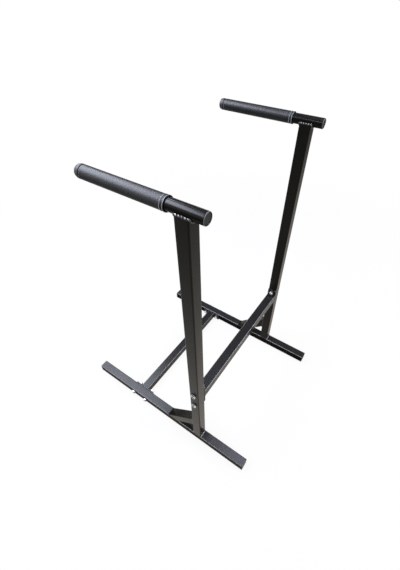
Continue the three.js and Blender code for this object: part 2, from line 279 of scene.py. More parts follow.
@dataclass(frozen=True)
class Outline:
    """A rectangle with round corners, centred on its own axes."""

    width: float
    height: float
    corner: float

    def _wall(self, turn: int) -> tuple[Vector, Vector, float, float]:
        """Measures one wall.

        Args:
            turn: The wall's number, counted counter-clockwise from the right wall.

        Returns:
            The wall's outward normal, its direction, its distance from the middle and its straight length.
        """
        normal = Vector((math.cos(turn * math.pi / 2), math.sin(turn * math.pi / 2)))
        along = Vector((-normal.y, normal.x))
        across, length = (self.width, self.height) if turn % 2 == 0 else (self.height, self.width)
        return normal, along, across / 2, length - 2 * self.corner

    @property
    def perimeter(self) -> float:
        """The length of the whole outline."""
        return 2 * (self.width + self.height) + (math.tau - 8) * self.corner

    def at(self, distance: float) -> tuple[Vector, Vector]:
        """Finds a place on the outline.

        Args:
            distance: The way to it along the outline, from the start of the right wall.

        Returns:
            The point and the outward normal there.
        """
        rest = distance % self.perimeter
        bend = self.corner * math.pi / 2
        for turn in range(4):
            normal, along, reach, length = self._wall(turn)
            if rest <= length:
                return normal * reach + along * (rest - length / 2), normal
            rest -= length
            if rest <= bend:
                break
            rest -= bend
        angle = rest / self.corner
        outward = normal * math.cos(angle) + along * math.sin(angle)
        centre = normal * (reach - self.corner) + along * (length / 2)
        return centre + outward * self.corner, outward

    def ring(self, wall_steps: int = 1, corner_steps: int = 6) -> list[Vector]:
        """Gives the points of one ring round the outline.

        Args:
            wall_steps: How many steps each straight wall has.
            corner_steps: How many steps each corner has.

        Returns:
            The points, counter-clockwise.
        """
        points = []
        for turn in range(4):
            normal, along, reach, length = self._wall(turn)
            for i in range(wall_steps):
                points.append(normal * reach + along * length * (i / wall_steps - 0.5))
            centre = normal * (reach - self.corner) + along * (length / 2)
            for i in range(corner_steps):
                angle = math.pi / 2 * i / corner_steps
                points.append(centre + self.corner * (normal * math.cos(angle) + along * math.sin(angle)))
        return points

    def inset(self, distance: float) -> Outline:
        """Gives the outline drawn in by a distance, with its corners kept round."""
        corner = max(self.corner - distance, self.corner / 4)
        return Outline(self.width - 2 * distance, self.height - 2 * distance, corner)


class Cut(ABC):
    """How the end of a tube is cut: its height over each point of the section."""

    @abstractmethod
    def height(self, u: float, v: float) -> float:
        """Gives the height of the cut over a point of the section."""

    def slope(self) -> float:
        """Gives the rise of the cut for each step along v, or zero for a cut that isn't flat."""
        return 0.0


@dataclass(frozen=True)
class SquareCut(Cut):
    """A cut square to the tube."""

    level: float

    def height(self, u: float, v: float) -> float:
        """Gives the height of the cut over a point of the section."""
        return self.level


@dataclass(frozen=True)
class MitreCut(Cut):
    """A slanted cut, level along u."""

    level: float
    rise: float

    def height(self, u: float, v: float) -> float:
        """Gives the height of the cut over a point of the section."""
        return self.level + self.rise * v

    def slope(self) -> float:
        """Gives the rise of the cut for each step along v."""
        return self.rise


@dataclass(frozen=True)
class SaddleCut(Cut):
    """A cope for a round tube that lies along v, between two level ears."""

    axis: float
    radius: float
    ears: float

    def height(self, u: float, v: float) -> float:
        """Gives the height of the cut over a point of the section."""
        return min(self.axis - math.sqrt(max(self.radius**2 - u**2, 0.0)), self.ears)


@dataclass(frozen=True)
class TubeStock:
    """The square tube that every straight member is cut from."""

    side: float = 0.040
    wall: float = 0.002
    corner: float = 0.004
    burr: float = 0.0003

    @property
    def outline(self) -> Outline:
        """The outline of the tube's outer skin."""
        return Outline(self.side, self.side, self.corner)

    def cut(self, low: Cut, high: Cut, wall_steps: int = 1) -> Form:
        """Cuts a length of the tube.

        Args:
            low: The cut at the lower end.
            high: The cut at the upper end.
            wall_steps: How many steps each wall has, more for an end that isn't flat.

        Returns:
            The hollow length, with its ends deburred.
        """
        burr, wall = self.burr, self.wall
        profile = [(burr, low, 0.0), (0.0, low, burr), (0.0, high, -burr), (burr, high, 0.0)]
        profile += [(wall - burr, high, 0.0), (wall, high, -burr), (wall, low, burr), (wall - burr, low, 0.0)]
        rings = []
        for inset, end, shift in profile:
            ring = self.outline.inset(inset).ring(wall_steps)
            rings.append([Vector((p.x, p.y, end.height(p.x, p.y) + shift)) for p in ring])
        return Form().loft(rings, closed=True)


def solid_of(outline: Outline, profile: Sequence[Point]) -> Form:
    """Builds a solid whose sections are one outline, drawn in along its height.

    Args:
        outline: The outline at its widest.
        profile: Points of inset and height. An inset of half the outline's height is its middle.

    Returns:
        The form.
    """
    middle = min(outline.width, outline.height) / 2
    rings = []
    for inset, height in profile:
        if inset >= middle:
            rings.append([Vector((0.0, 0.0, height))])
        else:
            rings.append([Vector((p.x, p.y, height)) for p in outline.inset(inset).ring()])
    return Form().loft(rings)


def drill(piece: bpy.types.Object, centre: Vector, axis: Axis, radius: float, depth: float) -> None:
    """Bores a round hole through a piece.

    Args:
        piece: The piece.
        centre: The middle of the hole.
        axis: The hole's direction.
        radius: The hole's radius.
        depth: The length of the drill, half on each side of the centre.
    """
    profile = [(0.0, -depth / 2), (radius, -depth / 2), (radius, depth / 2), (0.0, depth / 2)]
    bit = revolve(profile, steps=32).build("drill", axis.place(centre))
    cut = piece.modifiers.new("hole", "BOOLEAN")
    cut.operation = "DIFFERENCE"
    cut.solver = "EXACT"
    cut.object = bit
    smoothing = piece.modifiers[SMOOTHING]
    smoothing.show_viewport = False
    bpy.context.view_layer.update()
    cut_piece = piece.evaluated_get(bpy.context.evaluated_depsgraph_get())
    mesh = bpy.data.meshes.new_from_object(cut_piece)
    piece.modifiers.remove(cut)
    smoothing.show_viewport = True
    piece.data = mesh
    bpy.data.objects.remove(bit)
    smooth(piece, CREASE)


# Shaders


class Signal:
    """A socket of a shader tree. Arithmetic on values adds Math nodes."""

    def __init__(self, tree: ShaderTree, socket: bpy.types.NodeSocket) -> None:
        """Wraps a socket of a tree."""
        self.tree = tree
        self.socket = socket

    def _math(self, operation: str, first: Feed, second: Feed) -> Signal:
        """Adds one Math node."""
        return self.tree.node("ShaderNodeMath", {"operation": operation}, {0: first, 1: second})

    def __add__(self, other: Feed) -> Signal:
        """Adds a value."""
        return self._math("ADD", self, other)

    def __radd__(self, other: Feed) -> Signal:
        """Adds to a value."""
        return self._math("ADD", other, self)

    def __sub__(self, other: Feed) -> Signal:
        """Takes a value away."""
        return self._math("SUBTRACT", self, other)

    def __rsub__(self, other: Feed) -> Signal:
        """Takes this away from a value."""
        return self._math("SUBTRACT", other, self)

    def __mul__(self, other: Feed) -> Signal:
        """Multiplies by a value."""
        return self._math("MULTIPLY", self, other)

    def __rmul__(self, other: Feed) -> Signal:
        """Multiplies a value."""
        return self._math("MULTIPLY", other, self)

    def clamped(self) -> Signal:
        """Keeps the value between 0 and 1."""
        return self._math("MINIMUM", self._math("MAXIMUM", self, 0.0), 1.0)

    def rise(self, low: float, high: float) -> Signal:
        """Gives how far the value has come from low to high, kept between 0 and 1."""
        return ((self - low) * (1 / (high - low))).clamped()

    def around(self, middle: float, spread: float) -> Signal:
        """Turns a noise, which lies around one half, into a value around another middle."""
        return (self - 0.5) * spread + middle


Feed = Signal | float | Colour


@dataclass(frozen=True)
class Grain:
    """A noise over a surface, by the size of its features and its number of octaves."""

    size: float
    detail: float


class ShaderTree:
    """The node tree of a material or world, emptied and built anew."""

    def __init__(self, owner: bpy.types.Material | bpy.types.World) -> None:
        """Empties the owner's tree.

        Args:
            owner: The material or world.
        """
        owner.use_nodes = True
        self.nodes = owner.node_tree.nodes
        self.links = owner.node_tree.links
        self.nodes.clear()

    def node(
        self,
        kind: str,
        settings: Mapping[str, object] | None = None,
        inputs: Mapping[int | str, Feed] | None = None,
        output: int | str = 0,
    ) -> Signal | None:
        """Adds a node.

        Args:
            kind: The node's type.
            settings: Its properties. The stops of a ramp are pairs of place and colour.
            inputs: The value or link of each socket that isn't left alone.
            output: The socket that is wanted of it.

        Returns:
            The wanted output, or nothing for a node without outputs.
        """
        node = self.nodes.new(kind)
        for name, value in (settings or {}).items():
            if name == "stops":
                for i, (place, colour) in enumerate(value):
                    stop = node.color_ramp.elements[i] if i < 2 else node.color_ramp.elements.new(place)
                    stop.position, stop.color = place, (*colour, 1.0)
            else:
                setattr(node, name, value)
        for key, feed in (inputs or {}).items():
            socket = node.inputs[key]
            if isinstance(feed, Signal):
                self.links.new(feed.socket, socket)
            elif isinstance(feed, tuple) and len(feed) == 3 and socket.type == "RGBA":
                socket.default_value = (*feed, 1.0)
            else:
                socket.default_value = feed
        return Signal(self, node.outputs[output]) if node.outputs else None

    def places(self) -> Signal:
        """Gives the place of each point in the row frame, in metres."""
        return self.node("ShaderNodeTexCoord", output="Object")

    def noise(self, grain: Grain) -> Signal:
        """Adds a noise, with values around one half."""
        inputs = {"Vector": self.places(), "Scale": 1.0 / grain.size, "Detail": grain.detail}
        return self.node("ShaderNodeTexNoise", {}, inputs)

    def upward(self, low: float, high: float) -> Signal:
        """Gives how far the surface faces up.

        Args:
            low: The upward part of its normal at which the value leaves 0.
            high: The upward part at which the value reaches 1.

        Returns:
            The value, from 0 to 1.
        """
        normal = self.node("ShaderNodeNewGeometry", output="Normal")
        height = self.node("ShaderNodeSeparateXYZ", {}, {0: normal}, 2)
        return height.rise(low, high)

    def square_on(self, low: float, high: float) -> Signal:
        """Gives how far the surface is seen square on, for a gloss that fades at a glance.

        Args:
            low: The facing value, 0 for square on and 1 for edge on, up to which the result stays 1.
            high: The facing value at which it reaches 0.

        Returns:
            The value, from 0 to 1.
        """
        facing = self.node("ShaderNodeLayerWeight", {}, {"Blend": 0.5}, "Facing")
        return 1.0 - facing.rise(low, high)

    def crest(self) -> Signal:
        """Gives the crest marks of a form: above 0 for painted highlights and below 0 for painted shade."""
        return self.node("ShaderNodeAttribute", {"attribute_name": CREST}, output="Fac")

    def edges(self) -> Signal:
        """Gives where a form is marked for painted highlights, from 0 to 1."""
        return self.crest().clamped()

    def grooves(self) -> Signal:
        """Gives where a form is marked for painted shade, from 0 to 1."""
        return (0.0 - self.crest()).clamped()

    def groove_shade(self) -> Signal:
        """Gives the painted shade in the grooves, from 0 to 1, weaker where light falls in from above."""
        return self.grooves() * (1.0 - 0.7 * self.upward(0.3, 0.9))

    def mix(self, factor: Feed, first: Feed, second: Feed) -> Signal:
        """Mixes two colours."""
        inputs = {"Factor": factor, 6: first, 7: second}
        return self.node("ShaderNodeMix", {"data_type": "RGBA"}, inputs, 2)

    def bump(self, height: Signal, depth: float) -> Signal:
        """Turns a height from 0 to 1 into a normal, for a relief of the given depth."""
        return self.node("ShaderNodeBump", {}, {"Height": height, "Distance": depth})

    def close(self, shader: Signal) -> None:
        """Feeds the tree's surface."""
        self.node("ShaderNodeOutputMaterial", {}, {"Surface": shader})


@dataclass(frozen=True)
class Finish(ABC):
    """A finish that pieces are given.

    Its bands go by how far up the surface looks, or by its facing value.
    """

    slot: ClassVar[str | None]

    name: str

    @abstractmethod
    def shade(self, tree: ShaderTree) -> Signal:
        """Builds the shader in a material's tree and gives its output."""

    def material(self) -> bpy.types.Material:
        """Gives the finish's material, which is made only once.

        Returns:
            The material.
        """
        material = bpy.data.materials.get(self.name)
        if material is None:
            material = bpy.data.materials.new(self.name)
            tree = ShaderTree(material)
            tree.close(self.shade(tree))
        return material


@dataclass(frozen=True)
class PowderCoat(Finish):
    """Black powder coat with a fine orange peel, satin on the sides and glossier where it lay level.

    Dust and a painted sheen lighten the faces that look up; the round corners beside them carry a painted
    highlight with some wear.
    """

    slot: ClassVar[str] = "frame_steel"

    name: str = "powder_coat"
    colour: Colour = (0.0052, 0.0049, 0.0043)
    patch: Grain = Grain(0.045, 5.0)
    patch_spread: float = 0.8
    specular: float = 0.083
    roughness: float = 0.24
    roughness_spread: float = 0.10
    cloud: Grain = Grain(0.009, 4.0)
    level: Band = (0.30, 0.75)
    glance: Band = (0.45, 0.80)
    gloss_spread: float = 0.3
    gloss_roughness: float = 0.27
    gloss_ior: float = 1.5
    # Dust and a painted sheen that lighten the faces that look up.
    dust: Colour = (0.045, 0.045, 0.050)
    dust_share: float = 0.22
    dusty: Band = (0.80, 0.98)
    # A painted highlight, with some wear, on the round corners between the upward faces and the sides.
    rub: Colour = (0.310, 0.305, 0.300)
    rub_share: float = 0.70
    rub_start: Band = (0.45, 0.62)
    rub_end: Band = (0.84, 0.95)
    peel: Grain = Grain(0.0016, 2.0)
    peel_depth: float = 0.00006

    def shade(self, tree: ShaderTree) -> Signal:
        """Builds the shader.

        Args:
            tree: The material's tree.

        Returns:
            The shader's output.
        """
        patches = tree.noise(self.patch)
        level = tree.upward(*self.level) * tree.square_on(*self.glance)
        gloss = level * patches.around(1.0, self.gloss_spread).clamped()
        worn = patches.around(1.0, self.patch_spread)
        # Dust and a painted sheen lighten the faces that look up.
        dust_and_sheen_mask = tree.upward(*self.dusty) * worn * self.dust_share
        # The round corners beside the upward faces get a painted highlight, with some wear.
        corner = tree.upward(*self.rub_start) * (1.0 - tree.upward(*self.rub_end))
        wear_and_highlight_mask = corner * worn.clamped() * self.rub_share
        inputs = {
            "Base Color": tree.mix(wear_and_highlight_mask, tree.mix(dust_and_sheen_mask, self.colour, self.dust), self.rub),
            "Roughness": tree.noise(self.cloud).around(self.roughness, self.roughness_spread),
            "Specular IOR Level": self.specular,
            "Coat Weight": gloss,
            "Coat Roughness": self.gloss_roughness,
            "Coat IOR": self.gloss_ior,
            "Normal": tree.bump(tree.noise(self.peel), self.peel_depth),
        }
        return tree.node("ShaderNodeBsdfPrincipled", {}, inputs)


@dataclass(frozen=True)
class WeldCoat(Finish):
    """The same coat flowed smooth over a weld bead, with bare metal on the tops of the lumps as painted
    glints.
    """

    slot: ClassVar[str] = "weld"

    name: str = "weld_coat"
    colour: Colour = (0.008, 0.008, 0.008)
    # Bare metal on the tops of the lumps that face up, standing in for glints: a painted highlight.
    steel: Colour = (0.66, 0.67, 0.69)
    brushed: Band = (0.05, 0.45)
    brush_gain: float = 2.0
    specular: float = 0.45
    roughness: float = 0.22
    roughness_spread: float = 0.14
    brush_roughness: float = 0.08
    cloud: Grain = Grain(0.003, 3.0)
    flow: Grain = Grain(0.0012, 2.0)
    flow_depth: float = 0.00005

    def shade(self, tree: ShaderTree) -> Signal:
        """Builds the shader.

        Args:
            tree: The material's tree.

        Returns:
            The shader's output.
        """
        cloud = tree.noise(self.cloud)
        # Painted glints: bare metal where the crest marks the lump tops and they face up.
        bright = (tree.crest() * tree.upward(*self.brushed) * (cloud * self.brush_gain)).clamped()
        rough = cloud.around(self.roughness, self.roughness_spread)
        inputs = {
            "Base Color": tree.mix(bright, self.colour, self.steel),
            "Metallic": bright,
            "Roughness": rough + bright * self.brush_roughness,
            "Specular IOR Level": self.specular,
            "Normal": tree.bump(tree.noise(self.flow), self.flow_depth),
        }
        return tree.node("ShaderNodeBsdfPrincipled", {}, inputs)


@dataclass(frozen=True)
class GripRubber(Finish):
    """Dark rubber with a fine skin and faint rings along the sleeve, polished by hands on its upper side."""

    slot: ClassVar[str] = "grip_rubber"

    name: str = "ribbed_rubber"
    colour: Colour = (0.0110, 0.0115, 0.0130)
    worn: Colour = (0.0165, 0.0175, 0.0200)
    # A painted highlight on the marked crests of the flange, the ring and the sleeve's ends; painted shade in
    # its grooves.
    edge: Colour = (0.2000, 0.2080, 0.2240)
    shade_colour: Colour = (0.0020, 0.0020, 0.0020)
    patch: Grain = Grain(0.020, 4.0)
    wear: Band = (0.35, 0.85)
    specular: float = 0.07
    roughness: float = 0.50
    roughness_spread: float = 0.16
    polished: Band = (-0.10, 0.60)
    glance: Band = (0.55, 0.85)
    polish_spread: float = 0.3
    polish_roughness: float = 0.45
    polish_ior: float = 1.66
    skin: Grain = Grain(0.0007, 3.0)
    ring_pitch: float = 0.0013
    ring_share: float = 0.3
    relief: float = 0.00003

    def shade(self, tree: ShaderTree) -> Signal:
        """Builds the shader.

        Args:
            tree: The material's tree.

        Returns:
            The shader's output.
        """
        patches = tree.noise(self.patch)
        rings = tree.node(
            "ShaderNodeTexWave",
            {"wave_type": "BANDS", "bands_direction": "Y", "wave_profile": "SIN"},
            {"Vector": tree.places(), "Scale": WAVE_BAND / self.ring_pitch, "Distortion": 0.0},
        )
        polish = tree.upward(*self.polished) * tree.square_on(*self.glance)
        # Painted shade in the grooves and painted highlights on the marked crests.
        grooves = tree.groove_shade()
        skin = tree.mix(patches.rise(*self.wear), self.colour, self.worn)
        relief = tree.noise(self.skin) * (1.0 - self.ring_share) + rings * self.ring_share
        inputs = {
            "Base Color": tree.mix(grooves, tree.mix(tree.edges(), skin, self.edge), self.shade_colour),
            "Roughness": patches.around(self.roughness, self.roughness_spread),
            "Specular IOR Level": self.specular,
            "Coat Weight": polish * patches.around(1.0, self.polish_spread).clamped() * (1.0 - grooves),
            "Coat Roughness": self.polish_roughness,
            "Coat IOR": self.polish_ior,
            "Normal": tree.bump(relief, self.relief),
        }
        return tree.node("ShaderNodeBsdfPrincipled", {}, inputs)


@dataclass(frozen=True)
class MouldedPlastic(Finish):
    """Black moulded plastic with a fine eroded grain, with painted highlights on its marked edges that face
    up.
    """

    slot: ClassVar[str] = "plastic"

    name: str = "moulded_plastic"
    colour: Colour = (0.014, 0.014, 0.015)
    pale_share: float = 1.5
    # A painted highlight on the marked edges that face up, and painted shade in the marked grooves.
    edge: Colour = (0.260, 0.262, 0.270)
    edge_light: Band = (-0.7, 0.6)
    shade_colour: Colour = (0.002, 0.002, 0.002)
    cloud: Grain = Grain(0.006, 4.0)
    specular: float = 0.10
    roughness: float = 0.40
    roughness_spread: float = 0.16
    glossy: Band = (0.2, 0.6)
    gloss_roughness: float = 0.3
    erosion: Grain = Grain(0.0005, 3.0)
    relief: float = 0.00005

    def shade(self, tree: ShaderTree) -> Signal:
        """Builds the shader.

        Args:
            tree: The material's tree.

        Returns:
            The shader's output.
        """
        cloud = tree.noise(self.cloud)
        # Painted highlights on the marked edges and painted shade in the grooves.
        edges = tree.edges() * tree.upward(*self.edge_light)
        grooves = tree.groove_shade()
        skin = tree.mix(cloud, self.colour, tuple(self.pale_share * c for c in self.colour))
        inputs = {
            "Base Color": tree.mix(grooves, tree.mix(edges, skin, self.edge), self.shade_colour),
            "Roughness": cloud.around(self.roughness, self.roughness_spread),
            "Specular IOR Level": self.specular,
            "Coat Weight": tree.upward(*self.glossy) * (1.0 - grooves),
            "Coat Roughness": self.gloss_roughness,
            "Normal": tree.bump(tree.noise(self.erosion), self.relief),
        }
        return tree.node("ShaderNodeBsdfPrincipled", {}, inputs)


@dataclass(frozen=True)
class ZincPlate(Finish):
    """Zinc plate gone grey and cloudy, with a painted dark reflection in the dished faces."""

    slot: ClassVar[str] = "zinc_fasteners"

    name: str = "zinc_plate"
    colour: Colour = (0.86, 0.87, 0.88)
    dull: Colour = (0.58, 0.585, 0.595)
    dulled: Band = (0.3, 0.7)
    grime: Colour = (0.020, 0.020, 0.021)
    cloud: Grain = Grain(0.0035, 4.0)
    metallic: float = 0.88
    roughness: float = 0.20
    roughness_spread: float = 0.25
    spangle: Grain = Grain(0.0006, 2.0)
    relief: float = 0.00002

    def shade(self, tree: ShaderTree) -> Signal:
        """Builds the shader.

        Args:
            tree: The material's tree.

        Returns:
            The shader's output.
        """
        cloud = tree.noise(self.cloud)
        plate = tree.mix(cloud.rise(*self.dulled), self.colour, self.dull)
        inputs = {
            # A painted dark reflection in the marked dished faces.
            "Base Color": tree.mix(tree.grooves(), plate, self.grime),
            "Roughness": cloud.around(self.roughness, self.roughness_spread),
            "Metallic": self.metallic,
            "Normal": tree.bump(tree.noise(self.spangle), self.relief),
        }
        return tree.node("ShaderNodeBsdfPrincipled", {}, inputs)


@dataclass(frozen=True)
class Nylon(Finish):
    """The pale nylon ring of a lock nut."""

    slot: ClassVar[None] = None

    name: str = "nylon_ring"
    colour: Colour = (0.62, 0.63, 0.60)
    dark_share: float = 0.8
    cloud: Grain = Grain(0.002, 3.0)
    roughness: float = 0.4
    roughness_spread: float = 0.2

    def shade(self, tree: ShaderTree) -> Signal:
        """Builds the shader.

        Args:
            tree: The material's tree.

        Returns:
            The shader's output.
        """
        cloud = tree.noise(self.cloud)
        inputs = {
            "Base Color": tree.mix(cloud, self.colour, tuple(self.dark_share * c for c in self.colour)),
            "Roughness": cloud.around(self.roughness, self.roughness_spread),
        }
        return tree.node("ShaderNodeBsdfPrincipled", {}, inputs)


FRAME_COAT = PowderCoat()
BRACE_COAT = PowderCoat(name="brace_coat", level=(0.80, 0.97), rub_share=0.0)
HANDLE_COAT = PowderCoat(
    name="handle_coat",
    level=(0.25, 0.80),
    dust_share=0.04,
    rub_share=0.0,
    specular=0.035,
    roughness_spread=0.04,
    gloss_spread=0.0,
    gloss_roughness=0.22,
    peel_depth=0.00002,
)
FOOT_COAT = PowderCoat(
    name="foot_coat",
    rub_share=0.9,
    specular=0.006,
    gloss_roughness=0.34,
    gloss_ior=1.60,
)
WELD_COAT = WeldCoat()
GRIP_RUBBER = GripRubber()
PLUG_PLASTIC = MouldedPlastic()
CAP_PLASTIC = MouldedPlastic(name="cap_plastic", colour=(0.018, 0.018, 0.019), glossy=(-0.1, 0.5))
BRIGHT_ZINC = ZincPlate()
BLACK_ZINC = ZincPlate(name="black_zinc", colour=(0.060, 0.060, 0.063), dull=(0.025, 0.025, 0.027))
NYLON = Nylon()


def fit(piece: bpy.types.Object, finish: Finish, node: str | None = None) -> None:
    """Finishes a piece and fits it to the part.

    Args:
        piece: The piece, in its place.
        finish: Its finish.
        node: The node of the frame that it stands for, if it has one.
    """
    piece.data.materials.clear()
    piece.data.materials.append(finish.material())
    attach(piece, BODY)
    if node:
        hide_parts(node)
    LOG.info("made %s, %d faces", piece.name, len(piece.data.polygons))


# Welds


@dataclass(frozen=True)
class Bead:
    """A weld bead: a row of overlapping lumps with crescent ripples.

    The crescents trail behind on the bead's sides by a lag, which is a share of its radius. Where a lump or
    ripple has its even share of height, the bead has its own radius. The middle of each lump, as wide as the
    glint share, is marked for a painted glint, to levels that repeat lump by lump.
    """

    radius: float = 0.0026
    lump_pitch: float = 0.0070
    lump_height: float = 0.12
    ripple_pitch: float = 0.0018
    ripple_height: float = 0.05
    even_share: float = 0.6
    lag: float = 0.9
    # Where each lump carries a painted glint, and how strong, lump by lump.
    bright_share: float = 0.0
    bright_levels: tuple[float, ...] = (1.0,)
    step: float = 0.00045
    sides: int = 12

    def late(self, distance: float, lean: float) -> float:
        """Gives the place on the bead's crest whose crescent reaches a place on its side.

        Args:
            distance: The way along the bead.
            lean: How far the place has turned from the bead's crest, from 0 to 2.

        Returns:
            The way along the crest, which the functions below take.
        """
        return distance + self.lag * self.radius * lean

    def lump(self, late: float) -> float:
        """Gives how near a place is to the middle of its lump, from 0 to 1."""
        return abs(math.sin(math.pi * late / self.lump_pitch))

    def brightness(self, late: float) -> float:
        """Gives how strong the painted glint is at a place.

        Args:
            late: The place, as the way along the crest.

        Returns:
            The glint's strength, from 0 between two lumps to the level of the lump at its middle.
        """
        near = self.lump(late) - 1.0 + self.bright_share
        if near <= 0.0:
            return 0.0
        level = self.bright_levels[math.floor(late / self.lump_pitch) % len(self.bright_levels)]
        return level * near / self.bright_share

    def swell(self, late: float) -> float:
        """Gives the bead's thickness at a place.

        Args:
            late: The place, as the way along the crest.

        Returns:
            The thickness, as a share of the bead's radius.
        """
        ripple = abs(math.sin(math.pi * late / self.ripple_pitch)) - self.even_share
        return 1.0 + self.lump_height * (self.lump(late) - self.even_share) + self.ripple_height * ripple

    def sweep(self, way: Callable[[float], tuple[Vector, Vector, float]], length: float) -> Form:
        """Lays the bead along a closed way.

        Args:
            way: Gives the bead's middle, its outward direction and its size at a distance along the way.
            length: The length of the whole way.

        Returns:
            The closed form, with the painted glints marked on the tops of its lumps.
        """
        stretch = length / (round(length / self.lump_pitch) * self.lump_pitch)
        count = round(length / self.step)
        rings = []
        crest = []
        for i in range(count):
            distance = length * i / count
            middle, outward, size = way(distance)
            ahead = way(distance + self.step)[0]
            tangent = (ahead - middle).normalized()
            up = (outward - tangent * outward.dot(tangent)).normalized()
            aside = tangent.cross(up)
            ring = []
            for k in range(self.sides):
                angle = math.tau * k / self.sides
                lean = 1 - math.cos(angle)
                late = self.late(distance / stretch, lean)
                radius = size * self.swell(late)
                ring.append(middle + radius * (up * math.cos(angle) + aside * math.sin(angle)))
                # The crest marks where the painted glints go.
                crest.append(self.brightness(late) * math.sqrt(max(1.0 - lean, 0.0)))
            rings.append(ring)
        form = Form().loft(rings, closed=True)
        form.crest = crest
        return form


@dataclass(frozen=True)
class EndWeld:
    """The bead round the end of a square tube, where it meets a flat face.

    The walls across v stand in from the other piece's edges and get a fillet. The walls across u are flush
    with it, so the bead sinks into the seam.
    """

    bead: Bead
    stock: TubeStock
    cut: Cut
    body_above: bool
    bite: float = 0.35
    flush_radius: float = 0.0019
    flush_rise: float = 0.0002

    def way(self, distance: float) -> tuple[Vector, Vector, float]:
        """Finds a place on the bead.

        Args:
            distance: The way to it along the seam.

        Returns:
            The bead's middle there, its outward direction and its size, in the tube's own axes.
        """
        point, normal = self.stock.outline.at(distance)
        slope = self.cut.slope()
        sign = 1.0 if self.body_above else -1.0
        face = Vector((0.0, -slope, 1.0)).normalized() * sign
        wall = Vector((normal.x, normal.y, 0.0))
        corner = Vector((point.x, point.y, self.cut.height(point.x, point.y)))
        depth = self.bite * self.bead.radius
        fillet = corner + (wall + face) * depth / (1.0 + wall.dot(face))
        seam = corner + wall * (self.flush_rise - self.flush_radius)
        turned = min(max(3 * normal.y**2 - 2, 0.0), 1.0)
        share = turned**2 * (3 - 2 * turned)
        size = self.flush_radius + (self.bead.radius - self.flush_radius) * share
        outward = (wall + face * share).normalized()
        return seam.lerp(fillet, share), outward, size

    def form(self) -> Form:
        """Gives the bead, in the tube's own axes."""
        return self.bead.sweep(self.way, self.stock.outline.perimeter)


@dataclass(frozen=True)
class SaddleWeld:
    """The bead between an upright's coped top and the handle that lies in it."""

    bead: Bead
    stock: TubeStock
    handle_radius: float
    bead_offset: float = 0.0018
    stand_off: float = 0.0008
    inset: float = 0.0021
    ear_drop: float = 0.0052
    lift: float = 0.25

    @property
    def plan(self) -> Outline:
        """The way of the bead seen from above."""
        side = self.stock.side
        return Outline(side - 2 * self.inset, side + 2 * self.stand_off, self.stock.corner)

    def way(self, distance: float) -> tuple[Vector, Vector, float]:
        """Finds a place on the bead.

        Args:
            distance: The way to it along the plan.

        Returns:
            The bead's middle there, from the handle's axis, its outward direction and its size.
        """
        point, normal = self.plan.at(distance)
        reach = self.handle_radius + self.bead_offset
        underside = math.sqrt(max(reach**2 - point.x**2, 0.0))
        drop = -max(underside, self.ear_drop)
        outward = Vector((normal.x, normal.y, self.lift * abs(normal.x)))
        return Vector((point.x, point.y, drop)), outward, self.bead.radius

    def form(self) -> Form:
        """Gives the bead, about the handle's axis."""
        return self.bead.sweep(self.way, self.plan.perimeter)


# Sub-assemblies


